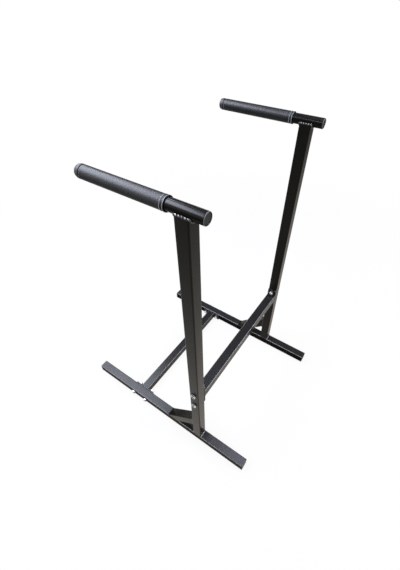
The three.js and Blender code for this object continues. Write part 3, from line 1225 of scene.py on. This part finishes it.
@dataclass
class SideFrame:
    """A foot, an upright, a brace and a handle, welded together.

    The places of the members are read from the frame.
    """

    side: Side
    stock: TubeStock
    bead: Bead
    hole_radius: float
    # The painted glints of each bead: the share of each lump that carries one, and their levels lump by lump.
    base_bead: Bead = Bead(bright_share=1.0, bright_levels=(0.60,))
    saddle_bead: Bead = Bead(
        radius=0.0029,
        lump_pitch=0.0084,
        lump_height=0.26,
        bright_share=0.38,
        bright_levels=(
            0.9, 0.4, 0.7, 0.3, 0.8, 0.3, 0.5, 0.3, 0.9,
            1.0, 0.6, 0.35, 0.7, 1.0, 0.1, 0.1, 0.1, 0.1,
        ),
    )
    cope_gap: float = 0.0003
    weld_gap: float = 0.0003
    cope_steps: int = 32
    axis_x: float = field(init=False)
    foot_span: Point = field(init=False)
    foot_top: float = field(init=False)
    upright_y: float = field(init=False)
    ears: float = field(init=False)
    handle_radius: float = field(init=False)
    handle_axis: float = field(init=False)
    handle_span: Point = field(init=False)

    def __post_init__(self) -> None:
        """Reads the places of the members."""
        foot_low, foot_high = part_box(self.name("foot_tube"))
        upright_low, upright_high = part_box(self.name("upright"))
        handle_low, handle_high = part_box(self.name("handle_tube"))
        self.foot_span = (foot_low.y, foot_high.y)
        self.foot_top = foot_high.z
        self.axis_x = (upright_low.x + upright_high.x) / 2
        self.upright_y = (upright_low.y + upright_high.y) / 2
        self.ears = upright_high.z
        self.handle_radius = (handle_high.z - handle_low.z) / 2
        self.handle_axis = (handle_high.z + handle_low.z) / 2
        self.handle_span = (handle_low.y, handle_high.y)

    def name(self, piece: str) -> str:
        """Gives the full name of one of this frame's pieces or nodes."""
        return f"{self.side.word}_{piece}"

    def drill_for(self, bar: Bar, piece: bpy.types.Object) -> None:
        """Drills the two bolt holes of a crossbar through a square tube of this frame.

        Args:
            bar: The crossbar.
            piece: The tube.
        """
        for stack in bar.bolt_stacks(self.side):
            middle = middle_of(f"{stack}_bolt")
            centre = Vector((self.axis_x, middle.y, middle.z))
            drill(piece, centre, Axis.X, self.hole_radius, 1.5 * self.stock.side)

    def foot(self) -> None:
        """Builds the foot tube."""
        front, back = self.foot_span
        place = Axis.Y.place(Vector((self.axis_x, 0.0, self.foot_top / 2)))
        piece = self.stock.cut(SquareCut(front), SquareCut(back)).build(self.name("foot_rail"), place)
        self.drill_for(Bar.REAR, piece)
        fit(piece, FOOT_COAT, self.name("foot_tube"))

    def upright(self) -> None:
        """Builds the upright, with its coped top, and the bead round its base."""
        cope = SaddleCut(self.handle_axis, self.handle_radius + self.cope_gap, self.ears)
        place = Axis.Z.place(Vector((self.axis_x, self.upright_y, 0.0)))
        base = SquareCut(self.foot_top)
        piece = self.stock.cut(base, cope, self.cope_steps).build(self.name("upright_post"), place)
        self.drill_for(Bar.FRONT, piece)
        fit(piece, FRAME_COAT, self.name("upright"))
        weld = EndWeld(self.base_bead, self.stock, base, body_above=True)
        fit(weld.form().build(self.name("upright_base_weld"), place), WELD_COAT)

    def brace(self) -> None:
        """Builds the brace and the beads at its two mitred ends."""
        half = self.stock.side / 2
        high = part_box(self.name("brace"))[1]
        reach = high.y - (self.upright_y + half)
        rise = high.z - self.foot_top
        slope = math.atan2(rise, reach)
        along = Vector((0.0, -math.cos(slope), math.sin(slope)))
        upper = Vector((0.0, math.sin(slope), math.cos(slope)))
        toe = Vector((self.axis_x, high.y, self.foot_top))
        across = upper.cross(along)
        place = Matrix((across, upper, along)).transposed().to_4x4()
        place.translation = toe - upper * half
        foot_cut = MitreCut(half / math.tan(slope) + self.weld_gap, -1 / math.tan(slope))
        length = reach / math.cos(slope)
        top_cut = MitreCut(length - half * math.tan(slope) - self.weld_gap, math.tan(slope))
        piece = self.stock.cut(foot_cut, top_cut).build(self.name("brace_strut"), place)
        fit(piece, BRACE_COAT, self.name("brace"))
        for word, cut, above in (("foot", foot_cut, True), ("top", top_cut, False)):
            weld = EndWeld(self.bead, self.stock, cut, above)
            fit(weld.form().build(self.name(f"brace_{word}_weld"), place), WELD_COAT)

    def saddle(self) -> None:
        """Builds the bead round the saddle."""
        weld = SaddleWeld(self.saddle_bead, self.stock, self.handle_radius)
        place = Axis.Z.place(Vector((self.axis_x, self.upright_y, self.handle_axis)))
        fit(weld.form().build(self.name("saddle_bead"), place), WELD_COAT, self.name("saddle_weld"))

    def foot_plugs(self) -> None:
        """Builds the plugs in both ends of the foot."""
        plug = SquarePlug(self.stock)
        for word, y, backwards in (("front", self.foot_span[0], True), ("rear", self.foot_span[1], False)):
            place = Axis.Y.place(Vector((self.axis_x, y, self.foot_top / 2)), backwards)
            piece = plug.form().build(self.name(f"foot_{word}_cover"), place)
            fit(piece, PLUG_PLASTIC, self.name(f"foot_{word}_plug"))

    def build(self) -> None:
        """Builds the whole side frame."""
        self.foot()
        self.foot_plugs()
        self.upright()
        self.brace()
        self.saddle()
        Handle(self.side, self.axis_x, self.handle_axis, self.handle_radius, self.handle_span).build()


@dataclass(frozen=True)
class SquarePlug:
    """A moulded plug for a square tube: a rounded head and a finned, hollow insert."""

    stock: TubeStock
    head: float = 0.003
    edge: float = 0.0012
    clearance: float = 0.0003
    insert_length: float = 0.018
    insert_wall: float = 0.002
    fin_height: float = 0.001
    fin_width: float = 0.0016
    fin_pitch: float = 0.006
    fins: int = 2
    dish: float = 0.0004

    def form(self) -> Form:
        """Builds the plug.

        Returns:
            The form, with its seat at zero and its head up.
        """
        bore = self.stock.wall + self.clearance
        post = bore + self.fin_height
        hollow = post + self.insert_wall
        middle = self.stock.side / 2
        profile = [(middle, 0.0), (hollow, 0.0), (hollow, -self.insert_length), (post, -self.insert_length)]
        for fin in range(self.fins, 0, -1):
            low = -fin * self.fin_pitch
            profile += [(post, low), (bore, low), (bore, low + self.fin_width), (post, low + self.fin_width)]
        profile += [(post, 0.0), (0.0, 0.0)]
        shoulder = rounding((self.edge, self.head - self.edge), self.edge, 0.0)
        profile += [(2 * self.edge - x, y) for x, y in shoulder]
        profile += [(4 * self.edge, self.head), (6 * self.edge, self.head - self.dish)]
        profile += [(middle, self.head - self.dish)]
        return solid_of(self.stock.outline, profile)


@dataclass(frozen=True)
class Handle:
    """The round handle of a side frame, with its grip, its cap and its plug."""

    side: Side
    axis_x: float
    height: float
    radius: float
    span: Point
    wall: float = 0.002
    edge: float = 0.0004
    facets: int = 96
    grip_crease: float = 50.0
    plastic_crease: float = 40.0

    def name(self, piece: str) -> str:
        """Gives the full name of one of this handle's pieces."""
        return f"{self.side.word}_{piece}"

    def place(self, y: float, backwards: bool = False) -> Matrix:
        """Gives the place of a form on the handle's axis, by where its origin is and which way it points."""
        return Axis.Y.place(Vector((self.axis_x, y, self.height)), backwards)

    def bar(self) -> None:
        """Builds the round tube."""
        length = self.span[1] - self.span[0]
        bore, edge = self.radius - self.wall, self.edge
        profile = rounding((self.radius - edge, edge), edge, -1.0, 3)
        profile += rounding((self.radius - edge, length - edge), edge, 0.0, 3)
        profile += [(bore, length), (bore, 0.0)]
        form = revolve(profile, self.facets, closed=True)
        piece = form.build(self.name("handle_bar"), self.place(self.span[0]))
        fit(piece, HANDLE_COAT, self.name("handle_tube"))

    def grip(self) -> None:
        """Builds the rubber sleeve, with its flange and ring."""
        low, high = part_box(self.name("grip"))
        sleeve = GripSleeve(self.radius, (high.z - low.z) / 2, high.y - low.y)
        form = sleeve.form(self.facets)
        piece = form.build(self.name("grip_sleeve"), self.place(low.y), self.grip_crease)
        fit(piece, GRIP_RUBBER, self.name("grip"))

    def end_cap(self) -> None:
        """Builds the domed cap behind the grip."""
        low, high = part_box(self.name("handle_end_cap"))
        cap = EndCap(self.radius - self.wall, (high.z - low.z) / 2, high.y - self.span[1])
        form = cap.form(self.facets)
        piece = form.build(self.name("handle_end_dome"), self.place(self.span[1]), self.plastic_crease)
        fit(piece, CAP_PLASTIC, self.name("handle_end_cap"))

    def front_plug(self) -> None:
        """Builds the round plug in the front end."""
        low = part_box(self.name("handle_front_plug"))[0]
        plug = FrontPlug(self.radius - self.wall, self.radius, self.span[0] - low.y)
        place = self.place(self.span[0], backwards=True)
        piece = plug.form(self.facets).build(self.name("handle_front_disc"), place, self.plastic_crease)
        fit(piece, PLUG_PLASTIC, self.name("handle_front_plug"))

    def build(self) -> None:
        """Builds the whole handle."""
        self.bar()
        self.grip()
        self.end_cap()
        self.front_plug()


@dataclass(frozen=True)
class GripSleeve:
    """A rubber sleeve with a flange and a ring at its front end, and a neck and a collar at its rear end."""

    bore: float
    flange_radius: float
    length: float
    clearance: float = 0.0003
    flange_height: float = 0.0006
    flange_width: float = 0.0046
    ring_height: float = 0.0004
    ring_width: float = 0.0044
    ring_start: float = 0.0086
    band: float = 0.0010
    end_round: float = 0.0006
    lip: float = 0.0003
    neck_width: float = 0.0036
    neck_depth: float = 0.0016
    collar_width: float = 0.0068
    collar_edge: float = 0.0002
    # Crest marks: above 0 paint a highlight on the ring tops, the shoulder and the collar, below 0 paint
    # shade.
    bulge_marks: tuple[float, float, float] = (1.7, 2.6, -0.6)
    shoulder_mark: float = 0.8
    collar_foot_mark: float = -0.5
    collar_mark: float = 0.15

    def bulge(self, start: float, width: float, height: float, steps: int = 12) -> list[tuple[Point, float]]:
        """Gives the outline of a soft ring that stands proud of the sleeve.

        Args:
            start: Where the ring starts along the sleeve.
            width: Its width.
            height: How far it stands proud.
            steps: How many steps its outline has.

        Returns:
            The points, each with its crest mark, which falls from the ring's top to its foot.
        """
        skin = self.flange_radius - self.flange_height
        top, fall, foot = self.bulge_marks
        points = []
        for i in range(steps + 1):
            share = i / steps
            reach = abs(2 * share - 1.0)
            rise = (1.0 - reach**4) ** 0.5
            mark = min(max(top - fall * reach, foot), 1.0)
            points.append(((skin + height * rise, start + width * share), mark))
        return points

    def form(self, facets: int) -> Form:
        """Builds the sleeve.

        Args:
            facets: How many steps its turn has.

        Returns:
            The form, with its flange at zero and its collar up.
        """
        skin = self.flange_radius - self.flange_height
        bore = self.bore + self.clearance
        floor = skin - self.neck_depth
        behind = self.ring_start + self.ring_width + self.band
        collar = self.length - self.collar_width
        shoulder = collar - self.neck_width
        # The marks paint shade in the gap at the flange's front and in the neck, and highlights on the
        # crests.
        marked = [((bore, 0.0), -1.0), ((skin - self.lip, 0.0), -1.0), ((skin, self.lip), -1.0)]
        marked += self.bulge(0.0, self.flange_width, self.flange_height)[2:]
        marked += self.bulge(self.ring_start, self.ring_width, self.ring_height)
        marked += [((skin, behind), 0.0), ((skin, shoulder - 2 * self.band), 0.0)]
        edge = rounding((skin - self.end_round, shoulder - self.end_round), self.end_round, 0.0)
        marked += [(point, self.shoulder_mark) for point in edge[:-2]]
        marked += [(point, -1.0) for point in edge[-2:]]
        marked += [((floor, shoulder), -1.0), ((floor, collar), -1.0)]
        edge = rounding((skin - self.end_round, collar + self.end_round), self.end_round, -1.0)
        marked += [(point, self.collar_foot_mark) for point in edge[:2]]
        marked += [(point, self.collar_mark) for point in edge[2:]]
        marked.append(((skin, self.length - self.collar_edge), self.collar_mark))
        marked += [((skin - self.collar_edge, self.length), 0.0), ((bore, self.length), 0.0)]
        points, marks = zip(*marked)
        return revolve(points, facets, closed=True, marks=marks)


@dataclass(frozen=True)
class EndCap:
    """A moulded cap: a tapering flank and a rounded tip, on a hollow insert."""

    bore: float
    rim_radius: float
    height: float
    taper: float = 0.30
    tip_round: float = 0.0026
    tip_steps: int = 8
    tip_rise: float = 0.0004
    # A faint painted highlight on the flank, where it faces up.
    flank_mark: float = 0.12
    clearance: float = 0.0003
    insert_length: float = 0.018
    insert_wall: float = 0.002

    def form(self, facets: int) -> Form:
        """Builds the cap.

        Args:
            facets: How many steps its turn has.

        Returns:
            The form, with its seat at zero and its tip up.
        """
        outer = self.bore - self.clearance
        inner = outer - self.insert_wall
        edge = self.tip_round
        flank = self.height - self.tip_rise - edge
        tip = self.rim_radius - self.taper * flank
        points = [(0.0, 0.0), (inner, 0.0), (inner, -self.insert_length), (outer, -self.insert_length)]
        points += [(outer, 0.0), (self.rim_radius, 0.0)]
        marks = [0.0] * 5 + [self.flank_mark]
        corner = rounding((tip - edge, flank), edge, 0.0, self.tip_steps)
        points += corner + [(0.0, self.height)]
        marks += [self.flank_mark] * len(corner) + [0.0]
        return revolve(points, facets, marks=marks)


@dataclass(frozen=True)
class FrontPlug:
    """A moulded plug for a round tube: a rounded rim round a sunk disc, on a hollow insert."""

    bore: float
    radius: float
    head: float
    rim_width: float = 0.0030
    rim_steps: int = 8
    # Crest marks: painted shade on the rim's outer side, a painted highlight on its top, painted shade on its
    # inner side and in the groove.
    rim_marks: tuple[float, ...] = (-1.0, -1.0, -1.0, 1.0, 1.0, 1.0, 1.0, 0.4, 0.0)
    rim_inner_mark: float = -0.5
    groove_width: float = 0.0005
    disc_drop: float = 0.0011
    disc_edge: float = 0.0003
    clearance: float = 0.0003
    insert_length: float = 0.018
    insert_wall: float = 0.002

    def form(self, facets: int) -> Form:
        """Builds the plug.

        Args:
            facets: How many steps its turn has.

        Returns:
            The form, with its seat at zero and its face up.
        """
        outer = self.bore - self.clearance
        inner = outer - self.insert_wall
        edge = self.rim_width / 2
        centre = (self.radius - edge, self.head - edge)
        disc = self.radius - self.rim_width - self.groove_width
        top = self.head - self.disc_drop
        floor = top - 2 * self.disc_edge
        points = [(0.0, 0.0), (inner, 0.0), (inner, -self.insert_length), (outer, -self.insert_length)]
        points += [(outer, 0.0), (self.radius, 0.0)]
        marks = [-1.0] * len(points)
        points += rounding(centre, edge, 0.0, self.rim_steps)
        marks += self.rim_marks
        points += rounding(centre, edge, 1.0, self.rim_steps)[1:]
        marks += [self.rim_inner_mark] * self.rim_steps
        points += [(centre[0] - edge, floor), (disc, floor)]
        marks += [-1.0, -1.0]
        face = rounding((disc - self.disc_edge, top - self.disc_edge), self.disc_edge, 0.0, 3)
        face.append((0.0, top))
        marks += [0.0] * len(face)
        return revolve(points + face, facets, marks=marks)


@dataclass(frozen=True)
class HexBolt:
    """A hexagon bolt with a dished head and a threaded tip, with its washers and its lock nut."""

    diameter: float = 0.010
    length: float = 0.060
    pitch: float = 0.0015
    pitch_steps: int = 6
    thread_length: float = 0.016
    thread_depth: float = 0.0009
    tip_pitches: float = 1.2
    tip_taper: float = 0.6
    across_flats: float = 0.017
    chamfer_angle: float = 30.0
    face_share: float = 0.97
    head: float = 0.0064
    head_edge: float = 0.0003
    head_seat_share: float = 0.965
    dish_shares: tuple[float, float, float] = (0.78, 0.76, 0.70)
    dish_depth: float = 0.0004
    nut: float = 0.010
    nut_hex: float = 0.007
    nut_seat_share: float = 0.96
    collar_wall: float = 0.0024
    collar_fillet: float = 0.0004
    collar_round: float = 0.0012
    lip_wall: float = 0.0008
    lip_edge: float = 0.0002
    pocket_wall: float = 0.0010
    pocket_top: float = 0.0006
    insert_play: float = 0.00005
    insert_edge: float = 0.0002
    washer_radius: float = 0.011
    washer: float = 0.002
    washer_edge: float = 0.0003
    hole_radius: float = 0.0055
    clearance: float = 0.0003
    facets: int = 60
    insert_facets: int = 48
    washer_facets: int = 64

    @property
    def flat(self) -> float:
        """The distance from the axis to a flat of the hexagon."""
        return self.across_flats / 2

    @property
    def chamfer(self) -> float:
        """The rise of the hexagon's chamfers for each step out from the axis."""
        return -math.tan(math.radians(self.chamfer_angle))

    def hexagon(self, angle: float) -> float:
        """Gives the hexagon's reach at an angle."""
        sector = (angle + math.pi / 6) % (math.pi / 3) - math.pi / 6
        return self.flat / math.cos(sector)

    def ring(self, reach: Callable[[float], float], level: Callable[[float], float]) -> list[Vector]:
        """Gives one ring of a bolt or nut.

        Args:
            reach: Gives its distance from the axis at an angle.
            level: Gives its height at an angle.

        Returns:
            The points.
        """
        angles = (math.tau * i / self.facets for i in range(self.facets))
        return [Vector((reach(a) * math.cos(a), reach(a) * math.sin(a), level(a))) for a in angles]

    def hex_ring(self, share: float, height: float, dip: float = 0.0) -> list[Vector]:
        """Gives one ring of a hexagon whose corners are turned down.

        Args:
            share: The ring's size as a share of the hexagon's.
            height: Its height at the middle of the flats.
            dip: How far the height changes for each step out from the flats.

        Returns:
            The points.
        """
        return self.ring(
            lambda a: share * self.hexagon(a),
            lambda a: height + dip * (self.hexagon(a) - self.flat),
        )

    def round_ring(self, radius: float, height: float) -> list[Vector]:
        """Gives one round ring."""
        return self.ring(lambda a: radius, lambda a: height)

    def thread_radius(self, angle: float, height: float) -> float:
        """Gives the shank's radius at a place, with the thread near its tip.

        Args:
            angle: The angle of the place.
            height: Its height over the head's seat.

        Returns:
            The radius.
        """
        major = self.diameter / 2
        into = self.thread_length - self.length - height
        if into < 0:
            return major
        phase = (height / self.pitch - angle / math.tau) % 1.0
        groove = abs(2 * phase - 1)
        tip = max(0.0, self.tip_pitches * self.pitch - (height + self.length)) * self.tip_taper
        return major - self.thread_depth * groove * min(into / self.pitch, 1.0) - tip

    def shank_ring(self, height: float) -> list[Vector]:
        """Gives one ring of the shank."""
        return self.ring(lambda a: self.thread_radius(a, height), lambda a: height)

    def bolt_form(self) -> Form:
        """Builds the bolt.

        Returns:
            The form, with its seat at zero and its head up, and with its dished face marked for a painted
            dark reflection.
        """
        count = round(self.thread_length / self.pitch * self.pitch_steps)
        heights = [-self.length + self.thread_length * i / count for i in range(count + 1)]
        rim, brink, dish = (share * self.flat for share in self.dish_shares)
        floor = self.head - self.dish_depth
        rings = [[Vector((0.0, 0.0, -self.length))]]
        rings += [self.shank_ring(height) for height in (*heights, 0.0)]
        rings.append(self.hex_ring(self.head_seat_share, 0.0))
        rings.append(self.hex_ring(1.0, self.head_edge))
        rings.append(self.hex_ring(1.0, self.head, self.chamfer))
        rings += [self.round_ring(radius, self.head) for radius in (self.face_share * self.flat, rim, brink)]
        rings.append(self.round_ring(dish, floor))
        rings.append([Vector((0.0, 0.0, floor))])
        form = Form().loft(rings)
        # The dished face is marked for a painted dark reflection.
        dark_reflection_points = 2 * self.facets + 1
        form.crest = [0.0] * (len(form.points) - dark_reflection_points) + [-1.0] * dark_reflection_points
        return form

    def nut_form(self) -> Form:
        """Builds the nut.

        Returns:
            The form, with its seat at zero and its collar up, and with an empty pocket in the collar.
        """
        bore = self.diameter / 2 + self.clearance
        collar = self.diameter / 2 + self.collar_wall
        lip = bore + self.lip_wall
        pocket = collar - self.pocket_wall
        floor = self.nut_hex + self.collar_fillet
        roof = self.nut - self.pocket_top
        rings = [self.round_ring(bore, 0.0), self.round_ring(self.nut_seat_share * self.flat, 0.0)]
        rings.append(self.hex_ring(1.0, 0.0, -self.chamfer))
        rings.append(self.hex_ring(1.0, self.nut_hex, self.chamfer))
        profile = [(self.face_share * self.flat, self.nut_hex), (collar + self.collar_fillet, self.nut_hex)]
        profile.append((collar, floor))
        edge = self.collar_round
        profile += rounding((collar - edge, self.nut - edge), edge, 0.0, 4)
        profile += [(lip, self.nut - self.lip_edge), (lip, roof)]
        profile += [(pocket, roof), (pocket, floor), (bore, floor)]
        rings += [self.round_ring(radius, height) for radius, height in profile]
        return Form().loft(rings, closed=True)

    def insert_form(self) -> Form:
        """Builds the nut's nylon ring.

        Returns:
            The form, in the pocket of a nut whose seat is at zero.
        """
        play, edge = self.insert_play, self.insert_edge
        inner = self.diameter / 2 + play
        outer = self.diameter / 2 + self.collar_wall - self.pocket_wall - play
        low = self.nut_hex + self.collar_fillet + play
        high = self.nut - self.pocket_top - play
        profile = rounding((outer - edge, low + edge), edge, -1.0, 2)
        profile += rounding((outer - edge, high - edge), edge, 0.0, 2)
        profile += [(inner, high), (inner, low)]
        return revolve(profile, self.insert_facets, closed=True)

    def washer_form(self) -> Form:
        """Builds a washer.

        Returns:
            The form, with its seat at zero.
        """
        edge = self.washer_edge
        inner, outer = self.hole_radius + edge, self.washer_radius - edge
        low, high = edge, self.washer - edge
        profile = rounding((outer, low), edge, -1.0, 3) + rounding((outer, high), edge, 0.0, 3)
        profile += rounding((inner, high), edge, 1.0, 3) + rounding((inner, low), edge, 2.0, 3)
        return revolve(profile, self.washer_facets, closed=True)

    def build(self, stack: str, side: Side) -> None:
        """Builds one bolt with its washers and nut.

        Args:
            stack: The start of the names of its nodes.
            side: The side frame that it goes through.
        """
        inward = side is Side.LEFT
        shapes = (
            ("bolt", "bolt_threaded", self.bolt_form(), not inward, self.head, BRIGHT_ZINC),
            ("head_washer", "outer_washer", self.washer_form(), not inward, self.washer, BLACK_ZINC),
            ("nut_washer", "inner_washer", self.washer_form(), inward, self.washer, BLACK_ZINC),
            ("nut", "lock_nut", self.nut_form(), inward, self.nut, BRIGHT_ZINC),
            ("nut", "nut_insert", self.insert_form(), inward, self.nut, NYLON),
        )
        for node, word, form, rightward, height, finish in shapes:
            low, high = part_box(f"{stack}_{node}")
            seat = middle_of(f"{stack}_{node}")
            seat.x = high.x - height if rightward else low.x + height
            place = Axis.X.place(seat, backwards=not rightward)
            stands_for = None if word == "nut_insert" else f"{stack}_{node}"
            fit(form.build(f"{stack}_{word}", place), finish, stands_for)


@dataclass(frozen=True)
class Crossbar:
    """A crossbar with its two welded end plates and its four bolts."""

    bar: Bar
    stock: TubeStock
    bead: Bead
    bolt: HexBolt
    plate_corner: float = 0.004
    plate_edge: float = 0.0005
    seam_rise: float = -0.0005

    def name(self, ending: str = "") -> str:
        """Gives the full name of one of this crossbar's pieces or nodes."""
        return f"{self.bar.word}_crossbar{ending}"

    def plate(self, side: Side) -> None:
        """Builds one end plate, with its bolt holes.

        Args:
            side: The end that it is welded to.
        """
        node = self.name(f"_{side.word}_plate")
        low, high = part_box(node)
        size = high - low
        edge, thickness = self.plate_edge, size.x
        middle = min(size.y, size.z) / 2
        lower = [(2 * edge - x, y) for x, y in rounding((edge, edge), edge, -1.0, 3)]
        upper = [(2 * edge - x, y) for x, y in rounding((edge, thickness - edge), edge, 0.0, 3)]
        form = solid_of(
            Outline(size.z, size.y, self.plate_corner),
            [(middle, 0.0), *lower, *upper, (middle, thickness)],
        )
        centre = middle_of(node)
        place = Axis.X.place(Vector((low.x, centre.y, centre.z)))
        piece = form.build(self.name(f"_{side.word}_flange"), place)
        for stack in self.bar.bolt_stacks(side):
            bolt = middle_of(f"{stack}_bolt")
            drill(piece, Vector((centre.x, bolt.y, bolt.z)), Axis.X, self.bolt.hole_radius, 4 * thickness)
        fit(piece, FRAME_COAT, node)

    def build(self) -> None:
        """Builds the whole crossbar."""
        low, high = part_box(self.name())
        middle = middle_of(self.name())
        ends = (SquareCut(low.x), SquareCut(high.x))
        place = Axis.X.place(Vector((0.0, middle.y, middle.z)))
        fillets = place
        if self.bar is Bar.FRONT:
            fillets = place @ Matrix.Rotation(math.pi / 2, 4, "Z")
        fit(self.stock.cut(*ends).build(self.name("_beam"), place), FRAME_COAT, self.name())
        for side, cut in zip(Side, ends):
            weld = EndWeld(self.bead, self.stock, cut, side is Side.LEFT, flush_rise=self.seam_rise)
            fit(weld.form().build(self.name(f"_{side.word}_weld"), fillets), WELD_COAT)
            self.plate(side)
            for stack in self.bar.bolt_stacks(side):
                self.bolt.build(stack, side)


# Stage


@dataclass(frozen=True)
class PhotoCamera:
    """The camera that took the photograph, fitted to the edges of the tubes. Pixels are the photograph's."""

    frame_pixels: Point = (400.0, 570.0)
    focal_pixels: float = 320.8
    centre_pixels: Point = (207.58, 284.42)
    position: Place = (-0.77186, -0.55887, 1.55483)
    yaw: float = -55.267
    pitch: float = -44.717
    roll: float = -0.439
    sensor: float = 36.0
    nearest: float = 0.01

    def build(self) -> None:
        """Adds the camera and makes it the scene's."""
        width, height = self.frame_pixels
        lens = bpy.data.cameras.new("camera")
        lens.sensor_width = self.sensor
        lens.lens = self.sensor * self.focal_pixels / height
        lens.shift_x = (width / 2 - self.centre_pixels[0]) / height
        lens.shift_y = (self.centre_pixels[1] - height / 2) / height
        lens.clip_start = self.nearest
        camera = bpy.data.objects.new("camera", lens)
        turn = Matrix.Rotation(math.radians(self.yaw), 4, "Z")
        turn @= Matrix.Rotation(math.radians(90 + self.pitch), 4, "X")
        turn @= Matrix.Rotation(math.radians(self.roll), 4, "Z")
        camera.matrix_world = Matrix.Translation(self.position) @ turn
        bpy.context.scene.collection.objects.link(camera)
        bpy.context.scene.camera = camera


@dataclass(frozen=True)
class Softbox:
    """A rectangular lamp, aimed at the stand."""

    name: str
    position: Place
    target: Place
    width: float
    length: float
    power: float
    colour: Colour = WHITE

    def build(self) -> None:
        """Adds the lamp."""
        lamp = bpy.data.lights.new(self.name, "AREA")
        lamp.shape = "RECTANGLE"
        lamp.size = self.width
        lamp.size_y = self.length
        lamp.energy = self.power
        lamp.color = self.colour
        light = bpy.data.objects.new(self.name, lamp)
        aim = (Vector(self.target) - Vector(self.position)).to_track_quat("-Z", "Y")
        light.matrix_world = Matrix.Translation(self.position) @ aim.to_matrix().to_4x4()
        bpy.context.scene.collection.objects.link(light)


def level_square(name: str, size: float, middle: Place) -> bpy.types.Object:
    """Makes one level face.

    Args:
        name: The object's name.
        size: The length of its sides.
        middle: Where its middle is.

    Returns:
        The new object.
    """
    half = size / 2
    corners = [(-half, -half), (half, -half), (half, half), (-half, half)]
    form = Form()
    form.faces.append(tuple(form.ring([Vector((x, y, 0.0)) for x, y in corners])))
    return form.build(name, Matrix.Translation(middle))


@dataclass(frozen=True)
class Studio:
    """A white floor and pale walls under a dim ceiling, with soft lamps overhead."""

    floor_size: float = 400.0
    floor_height: float = -0.0002
    floor_colour: Colour = (0.80, 0.80, 0.80)
    gleam_near: Colour = (1.0, 0.93, 0.84)
    gleam_far: Colour = (0.34, 0.335, 0.325)
    gleam_reach: Band = (0.9, 3.4)
    glow: float = 0.90
    shadow_reach: Band = (1.2, 2.6)
    wall_colour: Colour = (0.90, 0.89, 0.87)
    ceiling_colour: Colour = (0.10, 0.10, 0.11)
    ceiling_middle: Place = (2.0, 1.5, 3.3)
    ceiling_size: float = 16.0
    lamps: tuple[Softbox, ...] = (
        Softbox("ceiling_right", (0.23, 1.53, 2.4), (0.23, 1.53, 0.0), 0.82, 1.47, 22.0, COOL_WHITE),
        Softbox("ceiling_left", (-1.05, 1.75, 3.0), (-1.05, 1.75, 0.0), 1.9, 1.65, 74.0, COOL_WHITE),
        Softbox("ceiling_edge", (-2.6, 1.65, 3.0), (-2.6, 1.65, 0.0), 1.2, 1.4, 16.0, COOL_WHITE),
        Softbox("ceiling_front", (0.45, -0.38, 3.0), (0.45, -0.38, 0.0), 0.7, 0.95, 18.0, (0.80, 0.82, 1.0)),
        Softbox("back", (-0.1, 3.4, 2.6), (-0.1, 0.0, 1.0), 3.7, 0.8, 35.0, COOL_WHITE),
        Softbox("front", (1.2, -2.9, 1.6), (0.0, -0.2, 0.4), 1.8, 1.9, 75.0),
        Softbox("fill", (-2.2, -2.0, 3.0), (-0.3, 0.0, 1.0), 1.2, 1.2, 22.0),
        Softbox("key", (-2.5, 0.5, 3.2), (0.0, 0.0, 0.8), 0.35, 0.35, 10.0),
    )

    def floor(self) -> None:
        """Adds the floor, which looks white to the camera, pale in reflections, and still takes shadows."""
        floor = level_square("floor", self.floor_size, (0.0, 0.0, self.floor_height))
        material = bpy.data.materials.new("floor")
        tree = ShaderTree(material)
        camera = tree.node("ShaderNodeLightPath", output="Is Camera Ray")
        seen = camera
        for ray in ("Is Glossy Ray", "Is Transmission Ray"):
            seen = seen + tree.node("ShaderNodeLightPath", output=ray)
        lit = tree.node("ShaderNodeBsdfDiffuse", {}, {"Color": self.floor_colour})
        away = tree.node("ShaderNodeVectorMath", {"operation": "LENGTH"}, {0: tree.places()}, "Value")
        gleam = tree.mix(away.rise(*self.gleam_reach), self.gleam_near, self.gleam_far)
        tint = tree.mix(camera, gleam, WHITE)
        white = tree.node("ShaderNodeEmission", {}, {"Color": tint, "Strength": 1.0})
        glow = away.rise(*self.shadow_reach) * (1.0 - self.glow) + self.glow
        tree.close(tree.node("ShaderNodeMixShader", {}, {0: seen.clamped() * glow, 1: lit, 2: white}))
        floor.data.materials.append(material)

    def ceiling(self) -> None:
        """Adds the dim ceiling over the lamps, out of the camera's sight."""
        ceiling = level_square("ceiling", self.ceiling_size, self.ceiling_middle)
        material = bpy.data.materials.new("ceiling")
        tree = ShaderTree(material)
        tree.close(tree.node("ShaderNodeEmission", {}, {"Color": self.ceiling_colour, "Strength": 1.0}))
        ceiling.data.materials.append(material)
        ceiling.visible_camera = False

    def sky(self) -> None:
        """Lights the world evenly, as pale walls all round would, and shows it white behind the stand."""
        world = bpy.data.worlds.new("sky")
        tree = ShaderTree(world)
        camera = tree.node("ShaderNodeLightPath", output="Is Camera Ray")
        colour = tree.mix(camera, self.wall_colour, WHITE)
        background = tree.node("ShaderNodeBackground", {}, {"Color": colour, "Strength": 1.0})
        tree.node("ShaderNodeOutputWorld", {}, {"Surface": background})
        bpy.context.scene.world = world

    def build(self) -> None:
        """Builds the stage."""
        self.floor()
        self.ceiling()
        self.sky()
        for lamp in self.lamps:
            lamp.build()
        bpy.context.scene.view_settings.view_transform = "Standard"


def main() -> None:
    """Builds the stage and every sub-assembly of the stand."""
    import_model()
    PhotoCamera().build()
    Studio().build()
    stock = TubeStock()
    bead = Bead()
    bolt = HexBolt()
    for side in Side:
        SideFrame(side, stock, bead, bolt.hole_radius).build()
        LOG.info("built the %s frame", side.word)
    for bar in Bar:
        Crossbar(bar, stock, bead, bolt).build()
        LOG.info("built the %s crossbar", bar.word)


if __name__ == "__main__":
    logging.basicConfig(level=logging.INFO, format="%(message)s")
    main()
